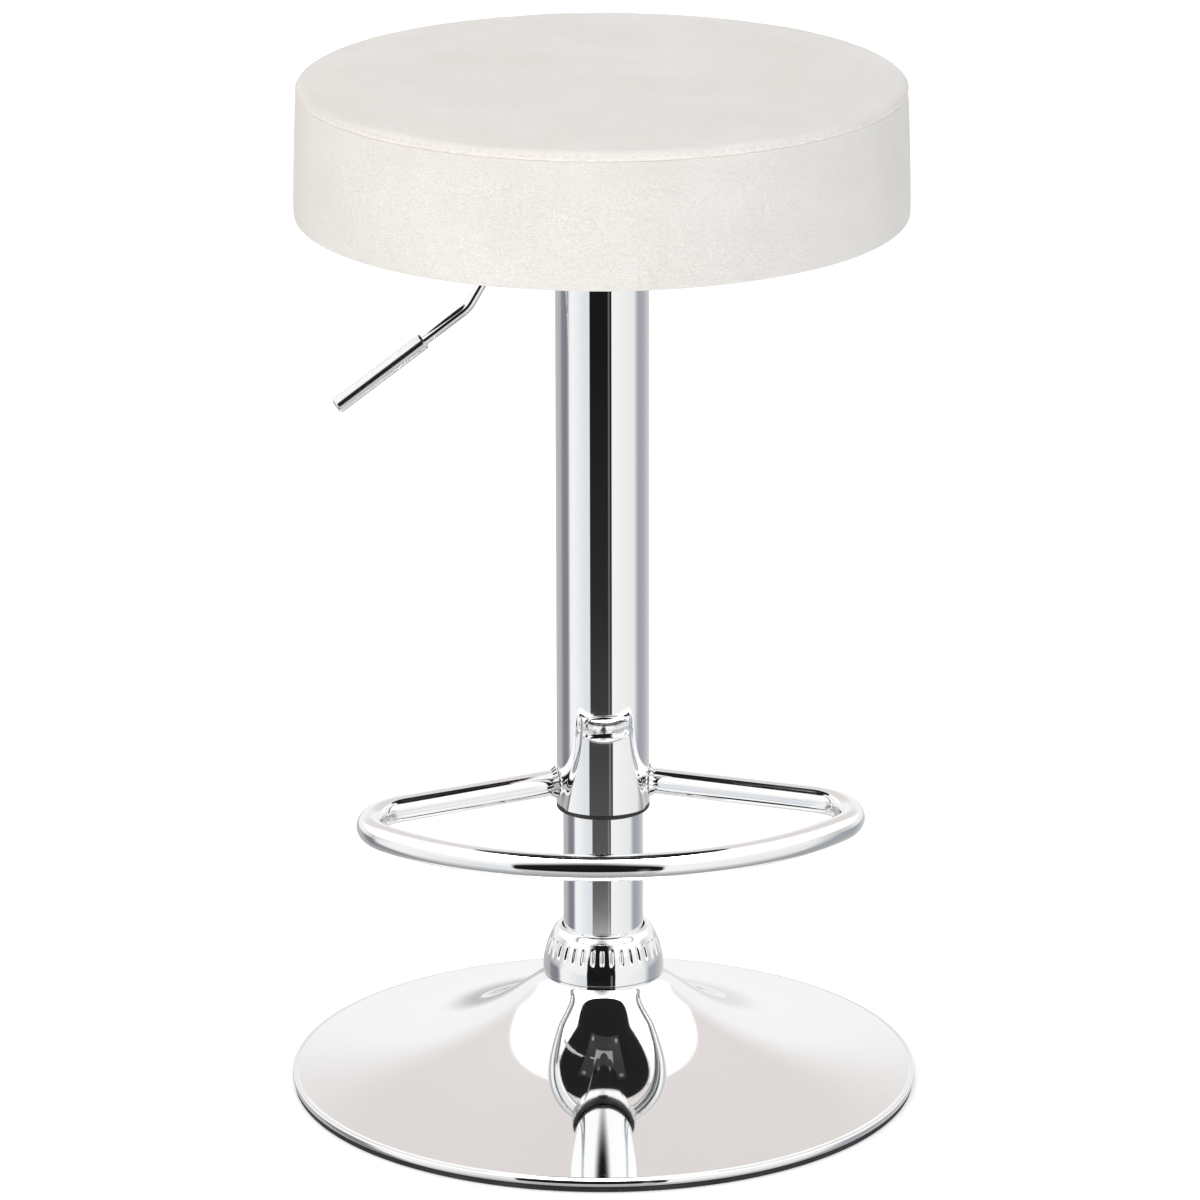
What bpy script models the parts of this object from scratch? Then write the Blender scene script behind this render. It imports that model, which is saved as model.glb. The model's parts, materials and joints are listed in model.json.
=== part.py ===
"""Adjustable swivel bar stool: trumpet base, gas lift column, footrest and round seat.

Metres, +Z up. The origin is on the floor at the middle of the base. The seat faces -Y:
the footrest is in front, and the lift lever comes out towards -X.
"""
import math

import bmesh
import bpy
from mathutils import Matrix, Vector

# ---------------------------------------------------------------- driving dimensions
GAP = 0.0003                 # clearance between pieces that touch

BASE_RADIUS = 0.1925         # outside of the rolled bead
BASE_EDGE_RADIUS = 0.189     # where the disc meets the bead
BASE_EDGE_Z = 0.0085
NECK_RADIUS = 0.0365         # top of the trumpet
NECK_TOP = 0.0714            # the neck ends in a short upright lip
RIM_SLOPE = math.radians(6.5)
CONE_SLOPE = math.radians(35.5)
CONE_SHARE = 0.87            # share of the way in at which the disc has become a cone
CONE_POWER = 1.6
NECK_SLOPE = math.radians(78.0)
NECK_POWER = 90.0            # how sharply the cone turns up at the neck
SHELL_THICKNESS = 0.0012

COLUMN_RADIUS = 0.0245
COLUMN_BORE = 0.0230
COLUMN_BOTTOM = 0.0074
COLUMN_TOP = 0.390

TUBE_RADIUS = 0.0283
TUBE_BORE = 0.0268
TUBE_BOTTOM = 0.181
TUBE_TOP = 0.5177

CYLINDER_RADIUS = 0.0140
CYLINDER_BORE = 0.0127
CYLINDER_BOTTOM = 0.095
TAPER_START = 0.505
TAPER_TOP = 0.532
TAPER_RADIUS = 0.0130
PIN_RADIUS = 0.0030
PIN_TOP = 0.5362

ROD_RADIUS = 0.0050
ROD_BOTTOM = 0.0095
ROD_SHOULDER = 0.288
ROD_TOP = 0.304

FOOTREST_Z = 0.193
FOOTREST_TUBE_RADIUS = 0.0080
FOOTREST_SWEEP = math.radians(24.3)    # how far forward each arm leans
FOOTREST_ARM_ORIGIN_Y = 0.013          # where the two arms would meet
FOOTREST_FRONT_Y = -0.1585
FOOTREST_FRONT_RADIUS = 0.183
FOOTREST_CORNER_RADIUS = 0.034

BRACKET_INNER = 0.0290
BRACKET_OUTER = 0.0304

SEAT_BOTTOM_RADIUS = 0.184
SEAT_SEAM_RADIUS = 0.182
SEAT_BOTTOM = 0.551
SEAM_Z = 0.628
SEAT_TOP = 0.6384
HEM_RADIUS = 0.176
BOARD_RADIUS = 0.1814
BOARD_BOTTOM = 0.5527
BOARD_TOP = 0.565
FOAM_BOTTOM = 0.5669

PLATE_HALF = 0.075
PLATE_BOTTOM = 0.5488
PLATE_TOP = 0.5513
SCREW_OFFSET = 0.060

LEVER_PIVOT = Vector((-0.022, 0.0, 0.540))
LEVER_RADIUS = 0.00325
HANDLE_RADIUS = 0.0051
HANDLE_START = Vector((-0.1064, 0.0, 0.4747))
HANDLE_END = Vector((-0.1610, 0.0, 0.4334))

WIDE_SEGMENTS = 48           # base and seat
ROUND_SEGMENTS = 36          # tubes
SMALL_SEGMENTS = 24          # piston and bearing
FASTENER_SEGMENTS = 12


# ---------------------------------------------------------------- tools
def clear_scene():
    for old in list(bpy.data.objects):
        bpy.data.objects.remove(old, do_unlink=True)


def material(name, colour, metallic, roughness):
    made = bpy.data.materials.new(name)
    made.use_nodes = True
    shader = made.node_tree.nodes["Principled BSDF"]
    shader.inputs["Base Color"].default_value = (*colour, 1.0)
    shader.inputs["Metallic"].default_value = metallic
    shader.inputs["Roughness"].default_value = roughness
    return made


def empty(name, location, parent=None):
    made = bpy.data.objects.new(name, None)
    bpy.context.collection.objects.link(made)
    made.location = location
    attach(made, parent)
    return made


def attach(child, parent):
    """Parent the child without moving it in the world."""
    if parent is None:
        return
    bpy.context.view_layer.update()
    child.parent = parent
    child.matrix_parent_inverse = parent.matrix_world.inverted()


def finish_mesh(name, bm, surface, parent):
    """Turn a bmesh into a smooth-shaded object with sharp creases."""
    bmesh.ops.recalc_face_normals(bm, faces=bm.faces)
    mesh = bpy.data.meshes.new(name)
    bm.to_mesh(mesh)
    bm.free()
    mesh.shade_smooth()
    mesh.set_sharp_from_angle(angle=math.radians(35))
    mesh.materials.append(surface)
    made = bpy.data.objects.new(name, mesh)
    bpy.context.collection.objects.link(made)
    attach(made, parent)
    return made


def turned(name, profile, segments, surface, parent, centre=(0.0, 0.0)):
    """A solid of revolution about Z from a closed outline of (radius, z) points."""
    bm = bmesh.new()
    ring = [bm.verts.new((r, 0.0, z)) for r, z in profile]
    on_axis = profile[0][0] == 0.0 and profile[-1][0] == 0.0
    edges = [bm.edges.new(pair) for pair in zip(ring, ring[1:])]
    if not on_axis:
        edges.append(bm.edges.new((ring[-1], ring[0])))
    bmesh.ops.spin(
        bm, geom=ring + edges, cent=(0, 0, 0), axis=(0, 0, 1),
        angle=math.tau, steps=segments, use_merge=True,
    )
    bmesh.ops.remove_doubles(bm, verts=bm.verts, dist=1e-6)
    bmesh.ops.translate(bm, verts=bm.verts, vec=(centre[0], centre[1], 0.0))
    return finish_mesh(name, bm, surface, parent)


def ring_profile(inner, outer, bottom, top):
    return [(inner, bottom), (outer, bottom), (outer, top), (inner, top)]


def block(name, low, high, surface, parent):
    bm = bmesh.new()
    bmesh.ops.create_cube(bm, size=1.0)
    size = Vector(high) - Vector(low)
    bmesh.ops.scale(bm, verts=bm.verts, vec=size)
    bmesh.ops.translate(bm, verts=bm.verts, vec=(Vector(high) + Vector(low)) / 2)
    return finish_mesh(name, bm, surface, parent)


def extruded(name, outline, start, end, surface, parent):
    """An outline of (y, z) points extruded along X."""
    bm = bmesh.new()
    face = bm.faces.new([bm.verts.new((start, y, z)) for y, z in outline])
    moved = bmesh.ops.extrude_face_region(bm, geom=[face])
    verts = [item for item in moved["geom"] if isinstance(item, bmesh.types.BMVert)]
    bmesh.ops.translate(bm, verts=verts, vec=(end - start, 0.0, 0.0))
    return finish_mesh(name, bm, surface, parent)


def swept_tube(name, path, radius, sides, surface, parent):
    """A round bar along a path, with flat ends."""
    bm = bmesh.new()
    side = Vector((0.0, 0.0, 1.0))
    rings = []
    for i, point in enumerate(path):
        ahead = path[min(i + 1, len(path) - 1)] - path[max(i - 1, 0)]
        along = ahead.normalized()
        if abs(along.dot(side)) > 0.95:
            side = Vector((0.0, 1.0, 0.0))
        side = (side - along * side.dot(along)).normalized()
        across = along.cross(side)
        turns = [math.tau * k / sides for k in range(sides)]
        rings.append([
            bm.verts.new(point + (side * math.cos(t) + across * math.sin(t)) * radius)
            for t in turns
        ])
    for ring, following in zip(rings, rings[1:]):
        for k in range(sides):
            after = (k + 1) % sides
            bm.faces.new((ring[k], ring[after], following[after], following[k]))
    bm.faces.new(rings[0])
    bm.faces.new(list(reversed(rings[-1])))
    return finish_mesh(name, bm, surface, parent)


def cylinder_cutter(name, centre, radius, length, axis, sides, parent):
    bm = bmesh.new()
    bmesh.ops.create_cone(
        bm, cap_ends=True, segments=sides,
        radius1=radius, radius2=radius, depth=length,
    )
    turn = Vector((0, 0, 1)).rotation_difference(Vector(axis)).to_matrix().to_4x4()
    bmesh.ops.transform(bm, verts=bm.verts, matrix=Matrix.Translation(centre) @ turn)
    return as_cutter(finish_mesh(name, bm, STEEL, parent))


def as_cutter(made):
    made.hide_render = True
    made.display_type = "WIRE"
    return made


def combine(target, cutter, operation):
    step = target.modifiers.new(cutter.name, "BOOLEAN")
    step.operation = operation
    step.solver = "EXACT"
    step.object = cutter


def arc_points(centre, radius, start, end, steps):
    """Points on a circle in the XY plane, both ends included."""
    turns = [start + (end - start) * k / steps for k in range(steps + 1)]
    return [centre + radius * Vector((math.cos(t), math.sin(t), 0.0)) for t in turns]


def rounded_path(corners, radii, steps):
    """A path through the corners, with an arc of the given radius at each inner one."""
    path = [corners[0]]
    for before, corner, after, radius in zip(corners, corners[1:], corners[2:], radii):
        to_before = (before - corner).normalized()
        to_after = (after - corner).normalized()
        half = to_before.angle(to_after) / 2
        middle = corner + (to_before + to_after).normalized() * radius / math.sin(half)
        first = corner + to_before * radius / math.tan(half) - middle
        last = corner + to_after * radius / math.tan(half) - middle
        turns = [first.slerp(last, k / steps).normalized() for k in range(steps + 1)]
        path += [middle + turn * radius for turn in turns]
    return path + [corners[-1]]


# ---------------------------------------------------------------- materials
CHROME = RUBBER = STEEL = PLASTIC = BRASS = FELT = WOOD = FOAM = LEATHER = None


def make_materials():
    global CHROME, RUBBER, STEEL, PLASTIC, BRASS, FELT, WOOD, FOAM, LEATHER
    CHROME = material("chrome", (0.86, 0.86, 0.87), 1.0, 0.05)
    RUBBER = material("black_rubber", (0.02, 0.02, 0.02), 0.0, 0.6)
    STEEL = material("plain_steel", (0.45, 0.45, 0.46), 1.0, 0.35)
    PLASTIC = material("black_plastic", (0.015, 0.015, 0.016), 0.0, 0.4)
    BRASS = material("brass", (0.72, 0.55, 0.28), 1.0, 0.3)
    FELT = material("black_lining", (0.02, 0.02, 0.02), 0.0, 0.95)
    WOOD = material("plywood", (0.55, 0.40, 0.25), 0.0, 0.7)
    FOAM = material("seat_foam", (0.85, 0.80, 0.60), 0.0, 0.9)
    LEATHER = material("white_leatherette", (0.84, 0.82, 0.79), 0.0, 0.45)


# ---------------------------------------------------------------- base
def trumpet_points(steps):
    """(radius, z, slope) on the upper face of the base, from the rim in to the neck.

    The points lie closer together near the neck, where the face turns up fastest.
    """
    fine = 20
    width = BASE_EDGE_RADIUS - NECK_RADIUS
    height = BASE_EDGE_Z
    before = 0.0
    points = []
    for i in range(steps * fine + 1):
        share = 1 - (1 - i / (steps * fine)) ** 2
        slope = RIM_SLOPE
        slope += (CONE_SLOPE - RIM_SLOPE) * min(1.0, share / CONE_SHARE) ** CONE_POWER
        slope += (NECK_SLOPE - CONE_SLOPE) * share ** NECK_POWER
        height += math.tan(slope) * width * (share - before)
        before = share
        if i % fine == 0:
            points.append((BASE_EDGE_RADIUS - width * share, height, slope))
    return points


def base_shell_profile():
    upper = trumpet_points(13)
    outer = [(NECK_RADIUS, NECK_TOP)] + [(r, z) for r, z, _ in reversed(upper)]
    bead = [
        (0.1910, 0.0082), (0.1923, 0.0068), (BASE_RADIUS, 0.0054),
        (0.1916, 0.0036), (0.1896, 0.0036), (0.1892, 0.0068),
    ]
    inner = [
        (r - SHELL_THICKNESS * math.sin(slope), z - SHELL_THICKNESS * math.cos(slope))
        for r, z, slope in upper[1:]
    ]
    return outer + bead + inner + [(NECK_RADIUS - SHELL_THICKNESS, NECK_TOP)]


def build_base(root):
    turned("floor_ring", [
        (0.165, 0.0), (0.1900, 0.0), (0.1915, 0.0012), (0.1915, 0.0033), (0.165, 0.0033),
    ], WIDE_SEGMENTS, RUBBER, root)
    turned("base_shell", base_shell_profile(), WIDE_SEGMENTS, CHROME, root)
    turned("base_plate", ring_profile(0.012, 0.172, 0.0036, 0.0071),
           WIDE_SEGMENTS, STEEL, root)
    turned("hub_socket", [
        (0.0248, 0.0074), (0.0400, 0.0074), (0.0400, 0.0100),
        (0.0290, 0.0100), (0.0290, 0.0660), (0.0248, 0.0660),
    ], ROUND_SEGMENTS, STEEL, root)
    turned("base_collar", [
        (0.0346, 0.0718), (0.0372, 0.0718), (0.0366, 0.0810), (0.0341, 0.0900),
        (0.0305, 0.0975), (0.0278, 0.1006), (0.0257, 0.1012), (0.0249, 0.0992),
        (0.0249, 0.0955), (0.0315, 0.0880), (0.0340, 0.0800),
    ], ROUND_SEGMENTS, CHROME, root)
    turned("lower_column", ring_profile(COLUMN_BORE, COLUMN_RADIUS, COLUMN_BOTTOM, COLUMN_TOP),
           ROUND_SEGMENTS, CHROME, root)
    turned("column_end_plate", ring_profile(0.0065, COLUMN_BORE - GAP, 0.0140, 0.0180),
           ROUND_SEGMENTS, STEEL, root)
    turned("bearing_lower_race", ring_profile(0.0080, 0.0140, 0.0183, 0.0198),
           SMALL_SEGMENTS, STEEL, root)
    build_bearing_cage(root)
    turned("column_guide_bush", [
        (0.0143, 0.340), (COLUMN_BORE - GAP, 0.340), (COLUMN_BORE - GAP, COLUMN_TOP + GAP),
        (COLUMN_RADIUS, COLUMN_TOP + GAP), (COLUMN_RADIUS, 0.394), (0.0143, 0.394),
    ], ROUND_SEGMENTS, PLASTIC, root)


def build_bearing_cage(root):
    """A flat cage with its ring of balls, which stand proud on both faces."""
    ball_ring = 0.0110
    ball_radius = 0.00145
    ball_z = 0.0216
    ball_count = 6
    cage = turned("bearing_cage", ring_profile(0.0083, 0.0137, 0.0208, 0.0224),
                  SMALL_SEGMENTS, BRASS, root)
    bm = bmesh.new()
    for k in range(ball_count):
        turn = math.tau * (k + 0.25) / ball_count
        place = Vector((ball_ring * math.cos(turn), ball_ring * math.sin(turn), ball_z))
        bmesh.ops.create_uvsphere(
            bm, u_segments=8, v_segments=5, radius=ball_radius,
            matrix=Matrix.Translation(place),
        )
    combine(cage, as_cutter(finish_mesh("ball_shapes", bm, STEEL, root)), "UNION")


# ---------------------------------------------------------------- piston rod
def build_rod(rod):
    snug = ROD_RADIUS + GAP
    turned("piston_rod", [
        (0.0, ROD_BOTTOM), (0.0045, ROD_BOTTOM), (ROD_RADIUS, 0.0100),
        (ROD_RADIUS, 0.0107), (0.0042, 0.0107), (0.0042, 0.0128), (ROD_RADIUS, 0.0128),
        (ROD_RADIUS, ROD_SHOULDER), (0.0040, ROD_SHOULDER), (0.0040, ROD_TOP), (0.0, ROD_TOP),
    ], SMALL_SEGMENTS, STEEL, rod)
    clip = turned("rod_clip", ring_profile(0.0045, 0.0080, 0.0110, 0.0125),
                  SMALL_SEGMENTS, STEEL, rod)
    mouth = block("clip_mouth", (0.0, -0.0020, 0.010), (0.010, 0.0020, 0.014), STEEL, rod)
    combine(clip, as_cutter(mouth), "DIFFERENCE")
    turned("rod_washer", ring_profile(snug, 0.0110, 0.0128, 0.0137),
           SMALL_SEGMENTS, STEEL, rod)
    turned("bearing_upper_race", ring_profile(snug, 0.0140, 0.0234, 0.0249),
           SMALL_SEGMENTS, STEEL, rod)
    turned("rubber_buffer", [
        (snug, 0.0252), (0.0130, 0.0252), (0.0130, 0.0320), (0.0110, 0.0350), (snug, 0.0350),
    ], SMALL_SEGMENTS, RUBBER, rod)
    turned("piston_head", [
        (0.0043, 0.2883), (0.0123, 0.2883), (0.0123, 0.2920), (0.0103, 0.2920),
        (0.0103, 0.2950), (0.0123, 0.2950), (0.0123, 0.2990), (0.0043, 0.2990),
    ], SMALL_SEGMENTS, BRASS, rod)
    turned("piston_seal", ring_profile(0.0106, 0.0124, 0.2923, 0.2947),
           SMALL_SEGMENTS, RUBBER, rod)
    turned("piston_nut", ring_profile(0.0050, 0.0080, 0.2993, 0.3035),
           6, STEEL, rod)


# ---------------------------------------------------------------- column, seat side
def build_lift(seat):
    turned("gas_cylinder", [
        (CYLINDER_BORE, CYLINDER_BOTTOM), (CYLINDER_RADIUS, CYLINDER_BOTTOM),
        (CYLINDER_RADIUS, TAPER_START), (TAPER_RADIUS, TAPER_TOP), (0.0034, TAPER_TOP),
        (0.0034, 0.5220), (0.0110, 0.5200), (CYLINDER_BORE, 0.5160),
    ], ROUND_SEGMENTS, PLASTIC, seat)
    turned("cylinder_gland", ring_profile(ROD_RADIUS + GAP, CYLINDER_BORE - GAP, 0.097, 0.115),
           ROUND_SEGMENTS, BRASS, seat)
    turned("cover_tube", ring_profile(TUBE_BORE, TUBE_RADIUS, TUBE_BOTTOM, TUBE_TOP),
           ROUND_SEGMENTS, CHROME, seat)
    turned("tube_guide_bush", [
        (0.0251, 0.1770), (0.0281, 0.1770), (0.0285, 0.1776),
        (0.0285, TUBE_BOTTOM - GAP), (TUBE_BORE - GAP, TUBE_BOTTOM - GAP),
        (TUBE_BORE - GAP, 0.2050), (0.0251, 0.2050),
    ], ROUND_SEGMENTS, PLASTIC, seat)
    turned("taper_socket", [
        (CYLINDER_RADIUS + 0.0004, TAPER_START), (0.0178, TAPER_START),
        (0.0178, TAPER_TOP), (TAPER_RADIUS + 0.0004, TAPER_TOP),
    ], ROUND_SEGMENTS, STEEL, seat)


def build_footrest_bracket(seat):
    """A plate that hugs the front of the tube and narrows upwards into a tongue."""
    tongue = [   # (height, half width in degrees, outer radius)
        (TUBE_BOTTOM, 70.0, BRACKET_OUTER), (0.197, 62.0, BRACKET_OUTER),
        (0.209, 51.6, BRACKET_OUTER), (0.2206, 40.4, BRACKET_OUTER),
        (0.237, 32.7, BRACKET_OUTER), (0.250, 25.0, 0.0295),
    ]
    columns = 12
    bm = bmesh.new()
    layers = {}
    for face in ("inner", "outer"):
        rows = []
        for z, half, outer in tongue:
            radius = outer if face == "outer" else BRACKET_INNER
            row = []
            for k in range(columns + 1):
                turn = math.radians(-90 + half * (2 * k / columns - 1))
                row.append(bm.verts.new((radius * math.cos(turn), radius * math.sin(turn), z)))
            rows.append(row)
        layers[face] = rows
    inner, outer = layers["inner"], layers["outer"]
    last = len(tongue) - 1
    for rows in (inner, outer):
        for low, high in zip(rows, rows[1:]):
            for k in range(columns):
                bm.faces.new((low[k], low[k + 1], high[k + 1], high[k]))
    for row in (0, last):
        for k in range(columns):
            bm.faces.new((inner[row][k], inner[row][k + 1], outer[row][k + 1], outer[row][k]))
    for k in (0, columns):
        for row in range(last):
            bm.faces.new((inner[row][k], inner[row + 1][k], outer[row + 1][k], outer[row][k]))
    finish_mesh("footrest_bracket", bm, CHROME, seat)


def footrest_half():
    """The centre line of one half, from the column's side out to the front middle."""
    along = Vector((math.cos(FOOTREST_SWEEP), -math.sin(FOOTREST_SWEEP), 0.0))
    forward = Vector((-math.sin(FOOTREST_SWEEP), -math.cos(FOOTREST_SWEEP), 0.0))
    start = Vector((0.0, FOOTREST_ARM_ORIGIN_Y, FOOTREST_Z))
    hub = Vector((0.0, FOOTREST_FRONT_Y + FOOTREST_FRONT_RADIUS, FOOTREST_Z))
    # The corner circle touches the arm line and, from inside, the front circle.
    offset = start + forward * FOOTREST_CORNER_RADIUS - hub
    reach = FOOTREST_FRONT_RADIUS - FOOTREST_CORNER_RADIUS
    half_b = offset.dot(along)
    length = -half_b + math.sqrt(half_b ** 2 - offset.length_squared + reach ** 2)
    corner = start + along * length + forward * FOOTREST_CORNER_RADIUS
    touch = (corner - hub).normalized()
    turn_in = math.atan2(-forward.y, -forward.x)
    turn_out = math.atan2(touch.y, touch.x)
    arm = [start + along * (0.020 + (length - 0.020) * k / 5) for k in range(5)]
    bend = arc_points(corner, FOOTREST_CORNER_RADIUS, turn_in, turn_out, 9)
    front = arc_points(hub, FOOTREST_FRONT_RADIUS, turn_out, -math.pi / 2, 9)
    return arm + bend + front[1:]


def build_footrest(seat):
    build_footrest_bracket(seat)
    right = footrest_half()
    left = [Vector((-p.x, p.y, p.z)) for p in reversed(right[:-1])]
    loop = swept_tube("footrest_loop", right + left, FOOTREST_TUBE_RADIUS, 12, CHROME, seat)
    notch = cylinder_cutter("column_notch", (0.0, 0.0, FOOTREST_Z), BRACKET_OUTER + GAP,
                            0.030, (0, 0, 1), ROUND_SEGMENTS, seat)
    combine(loop, notch, "DIFFERENCE")


# ---------------------------------------------------------------- under the seat
def build_mechanism(seat):
    web_top = 0.5205
    web_bottom = 0.5180
    wall_inner = 0.0288
    wall_outer = 0.0313
    wall_top = PLATE_BOTTOM - GAP
    housing = extruded("lever_housing", [
        (-wall_outer, web_bottom), (wall_outer, web_bottom), (wall_outer, wall_top),
        (wall_inner, wall_top), (wall_inner, web_top), (-wall_inner, web_top),
        (-wall_inner, wall_top), (-wall_outer, wall_top),
    ], -0.034, 0.034, STEEL, seat)
    socket_hole = cylinder_cutter("socket_hole", (0.0, 0.0, web_top), 0.0182, 0.010,
                                  (0, 0, 1), ROUND_SEGMENTS, seat)
    combine(housing, socket_hole, "DIFFERENCE")

    ear_inner, ear_outer, ear_foot = 0.0063, 0.0083, 0.5335
    bridge = 0.5460
    bracket = extruded("lever_bracket", [
        (-ear_outer, ear_foot), (-ear_inner, ear_foot), (-ear_inner, bridge),
        (ear_inner, bridge), (ear_inner, ear_foot), (ear_outer, ear_foot),
        (ear_outer, wall_top), (-ear_outer, wall_top),
    ], LEVER_PIVOT.x - 0.006, LEVER_PIVOT.x + 0.006, STEEL, seat)
    ear_holes = cylinder_cutter("ear_holes", LEVER_PIVOT, 0.0024, 0.030, (0, 1, 0),
                                FASTENER_SEGMENTS, seat)
    combine(bracket, ear_holes, "DIFFERENCE")

    pin_end = ear_outer + GAP
    pin = turned("lever_pivot_pin", [
        (0.0, -pin_end - 0.0010), (0.0034, -pin_end - 0.0010), (0.0034, -pin_end),
        (0.0020, -pin_end), (0.0020, pin_end), (0.0034, pin_end),
        (0.0034, pin_end + 0.0010), (0.0, pin_end + 0.0010),
    ], FASTENER_SEGMENTS, STEEL, None)
    pin.rotation_euler = (math.radians(90), 0.0, 0.0)
    pin.location = LEVER_PIVOT
    attach(pin, seat)


def screw_places():
    return [(x, y) for x in (-SCREW_OFFSET, SCREW_OFFSET) for y in (-SCREW_OFFSET, SCREW_OFFSET)]


def drill_screw_holes(target, radius, z, parent):
    for k, (x, y) in enumerate(screw_places()):
        hole = cylinder_cutter(f"{target.name}_hole_{k + 1}", (x, y, z), radius, 0.030,
                               (0, 0, 1), FASTENER_SEGMENTS, parent)
        combine(target, hole, "DIFFERENCE")


def build_fasteners(seat):
    head_bottom, head_top = 0.5435, 0.5472
    for k, place in enumerate(screw_places()):
        number = k + 1
        turned(f"plate_screw_{number}", [
            (0.0, head_bottom), (0.0045, head_bottom), (0.0055, head_bottom + 0.0012),
            (0.0055, head_top), (0.0029, head_top), (0.0029, 0.5630), (0.0, 0.5630),
        ], FASTENER_SEGMENTS, STEEL, seat, place)
        turned(f"plate_washer_{number}", ring_profile(0.0034, 0.0070, 0.5475, 0.5485),
               FASTENER_SEGMENTS, STEEL, seat, place)
        turned(f"t_nut_{number}", [
            (0.0033, 0.5535), (0.0042, 0.5535), (0.0042, 0.5653), (0.0090, 0.5653),
            (0.0090, 0.5665), (0.0033, 0.5665),
        ], FASTENER_SEGMENTS, STEEL, seat, place)


def build_seat(seat):
    plate = block("seat_plate", (-PLATE_HALF, -PLATE_HALF, PLATE_BOTTOM),
                  (PLATE_HALF, PLATE_HALF, PLATE_TOP), STEEL, seat)
    drill_screw_holes(plate, 0.0036, PLATE_BOTTOM, seat)
    build_fasteners(seat)
    dust = turned("dust_cover", [
        (0.0, 0.5516), (HEM_RADIUS - 0.0004, 0.5516), (HEM_RADIUS - 0.0004, 0.5524), (0.0, 0.5524),
    ], WIDE_SEGMENTS, FELT, seat)
    drill_screw_holes(dust, 0.0036, 0.552, seat)
    board = turned("seat_board", [
        (0.0, BOARD_BOTTOM), (BOARD_RADIUS, BOARD_BOTTOM), (BOARD_RADIUS, BOARD_TOP),
        (0.0, BOARD_TOP),
    ], WIDE_SEGMENTS, WOOD, seat)
    drill_screw_holes(board, 0.0047, BOARD_TOP, seat)
    turned("seat_foam", [
        (0.0, FOAM_BOTTOM), (0.1812, FOAM_BOTTOM), (0.1797, 0.6275), (0.1786, 0.6294),
        (0.1762, 0.6308), (0.1708, 0.6321), (0.1500, 0.6337), (0.0900, 0.6353), (0.0, 0.6361),
    ], WIDE_SEGMENTS, FOAM, seat)
    turned("seat_cover_top", [
        (0.0, SEAT_TOP), (0.0900, 0.6376), (0.1500, 0.6360), (0.1728, 0.6345),
        (0.1786, 0.6327), (0.1811, 0.6305), (SEAT_SEAM_RADIUS, SEAM_Z + GAP),
        (0.1802, SEAM_Z + GAP), (0.1793, 0.6300), (0.1767, 0.6315), (0.1712, 0.6328),
        (0.1500, 0.6344), (0.0900, 0.6360), (0.0, 0.6368),
    ], WIDE_SEGMENTS, LEATHER, seat)
    turned("seat_cover_band", [
        (HEM_RADIUS, SEAT_BOTTOM), (0.1832, SEAT_BOTTOM), (SEAT_BOTTOM_RADIUS, 0.5520),
        (SEAT_SEAM_RADIUS, SEAM_Z), (0.1802, SEAM_Z), (0.1818, 0.5660),
        (0.1818, 0.5524), (HEM_RADIUS, 0.5524),
    ], WIDE_SEGMENTS, LEATHER, seat)


# ---------------------------------------------------------------- lever and pin
def build_lever(lever):
    along = (HANDLE_END - HANDLE_START).normalized()
    rod_path = rounded_path([
        Vector((0.0060, 0.0, LEVER_PIVOT.z)), Vector((-0.0542, 0.0, LEVER_PIVOT.z)),
        Vector((-0.0821, 0.0, 0.4931)), HANDLE_START + along * 0.050,
    ], (0.014, 0.020), 5)
    rod = swept_tube("lever_rod", rod_path, LEVER_RADIUS, 10, CHROME, lever)
    boss = cylinder_cutter("pivot_boss", LEVER_PIVOT, 0.0055, 0.0110, (0, 1, 0), 16, lever)
    combine(rod, boss, "UNION")
    bore = cylinder_cutter("pivot_bore", LEVER_PIVOT, 0.0024, 0.0300, (0, 1, 0),
                           FASTENER_SEGMENTS, lever)
    combine(rod, bore, "DIFFERENCE")

    length = (HANDLE_END - HANDLE_START).length
    bore_radius = LEVER_RADIUS + 0.0004
    handle = turned("lever_handle", [
        (0.0, length), (0.0035, length), (HANDLE_RADIUS, length - 0.0016),
        (HANDLE_RADIUS, 0.0008), (0.0044, 0.0), (bore_radius, 0.0),
        (bore_radius, 0.052), (0.0, 0.052),
    ], FASTENER_SEGMENTS, CHROME, None)
    handle.rotation_mode = "QUATERNION"
    handle.rotation_quaternion = Vector((0, 0, 1)).rotation_difference(along)
    handle.location = HANDLE_START
    attach(handle, lever)


def build_pin(button):
    turned("release_pin", [
        (0.0, 0.5000), (PIN_RADIUS, 0.5000), (PIN_RADIUS, PIN_TOP - 0.0010),
        (0.0020, PIN_TOP), (0.0, PIN_TOP),
    ], FASTENER_SEGMENTS, STEEL, button)


# ---------------------------------------------------------------- the stool
def build_stool():
    clear_scene()
    make_materials()
    root = empty("base", (0.0, 0.0, 0.0))
    rod = empty("rod", (0.0, 0.0, 0.0), root)
    seat = empty("seat", (0.0, 0.0, 0.0), rod)
    lever = empty("lever", LEVER_PIVOT, seat)
    button = empty("button", (0.0, 0.0, PIN_TOP), seat)
    build_base(root)
    build_rod(rod)
    build_lift(seat)
    build_footrest(seat)
    build_mechanism(seat)
    build_seat(seat)
    build_lever(lever)
    build_pin(button)


build_stool()
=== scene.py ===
"""The finished look of the adjustable swivel stool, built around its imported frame.

Chrome base, column and footrest, a sewn off-white leatherette seat, and the studio.
Metres, +Z up. The stool's axis is the world's Z axis.
"""

import json
import math

import bmesh
import bpy
from mathutils import Matrix, Vector, noise
from mathutils.kdtree import KDTree


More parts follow.
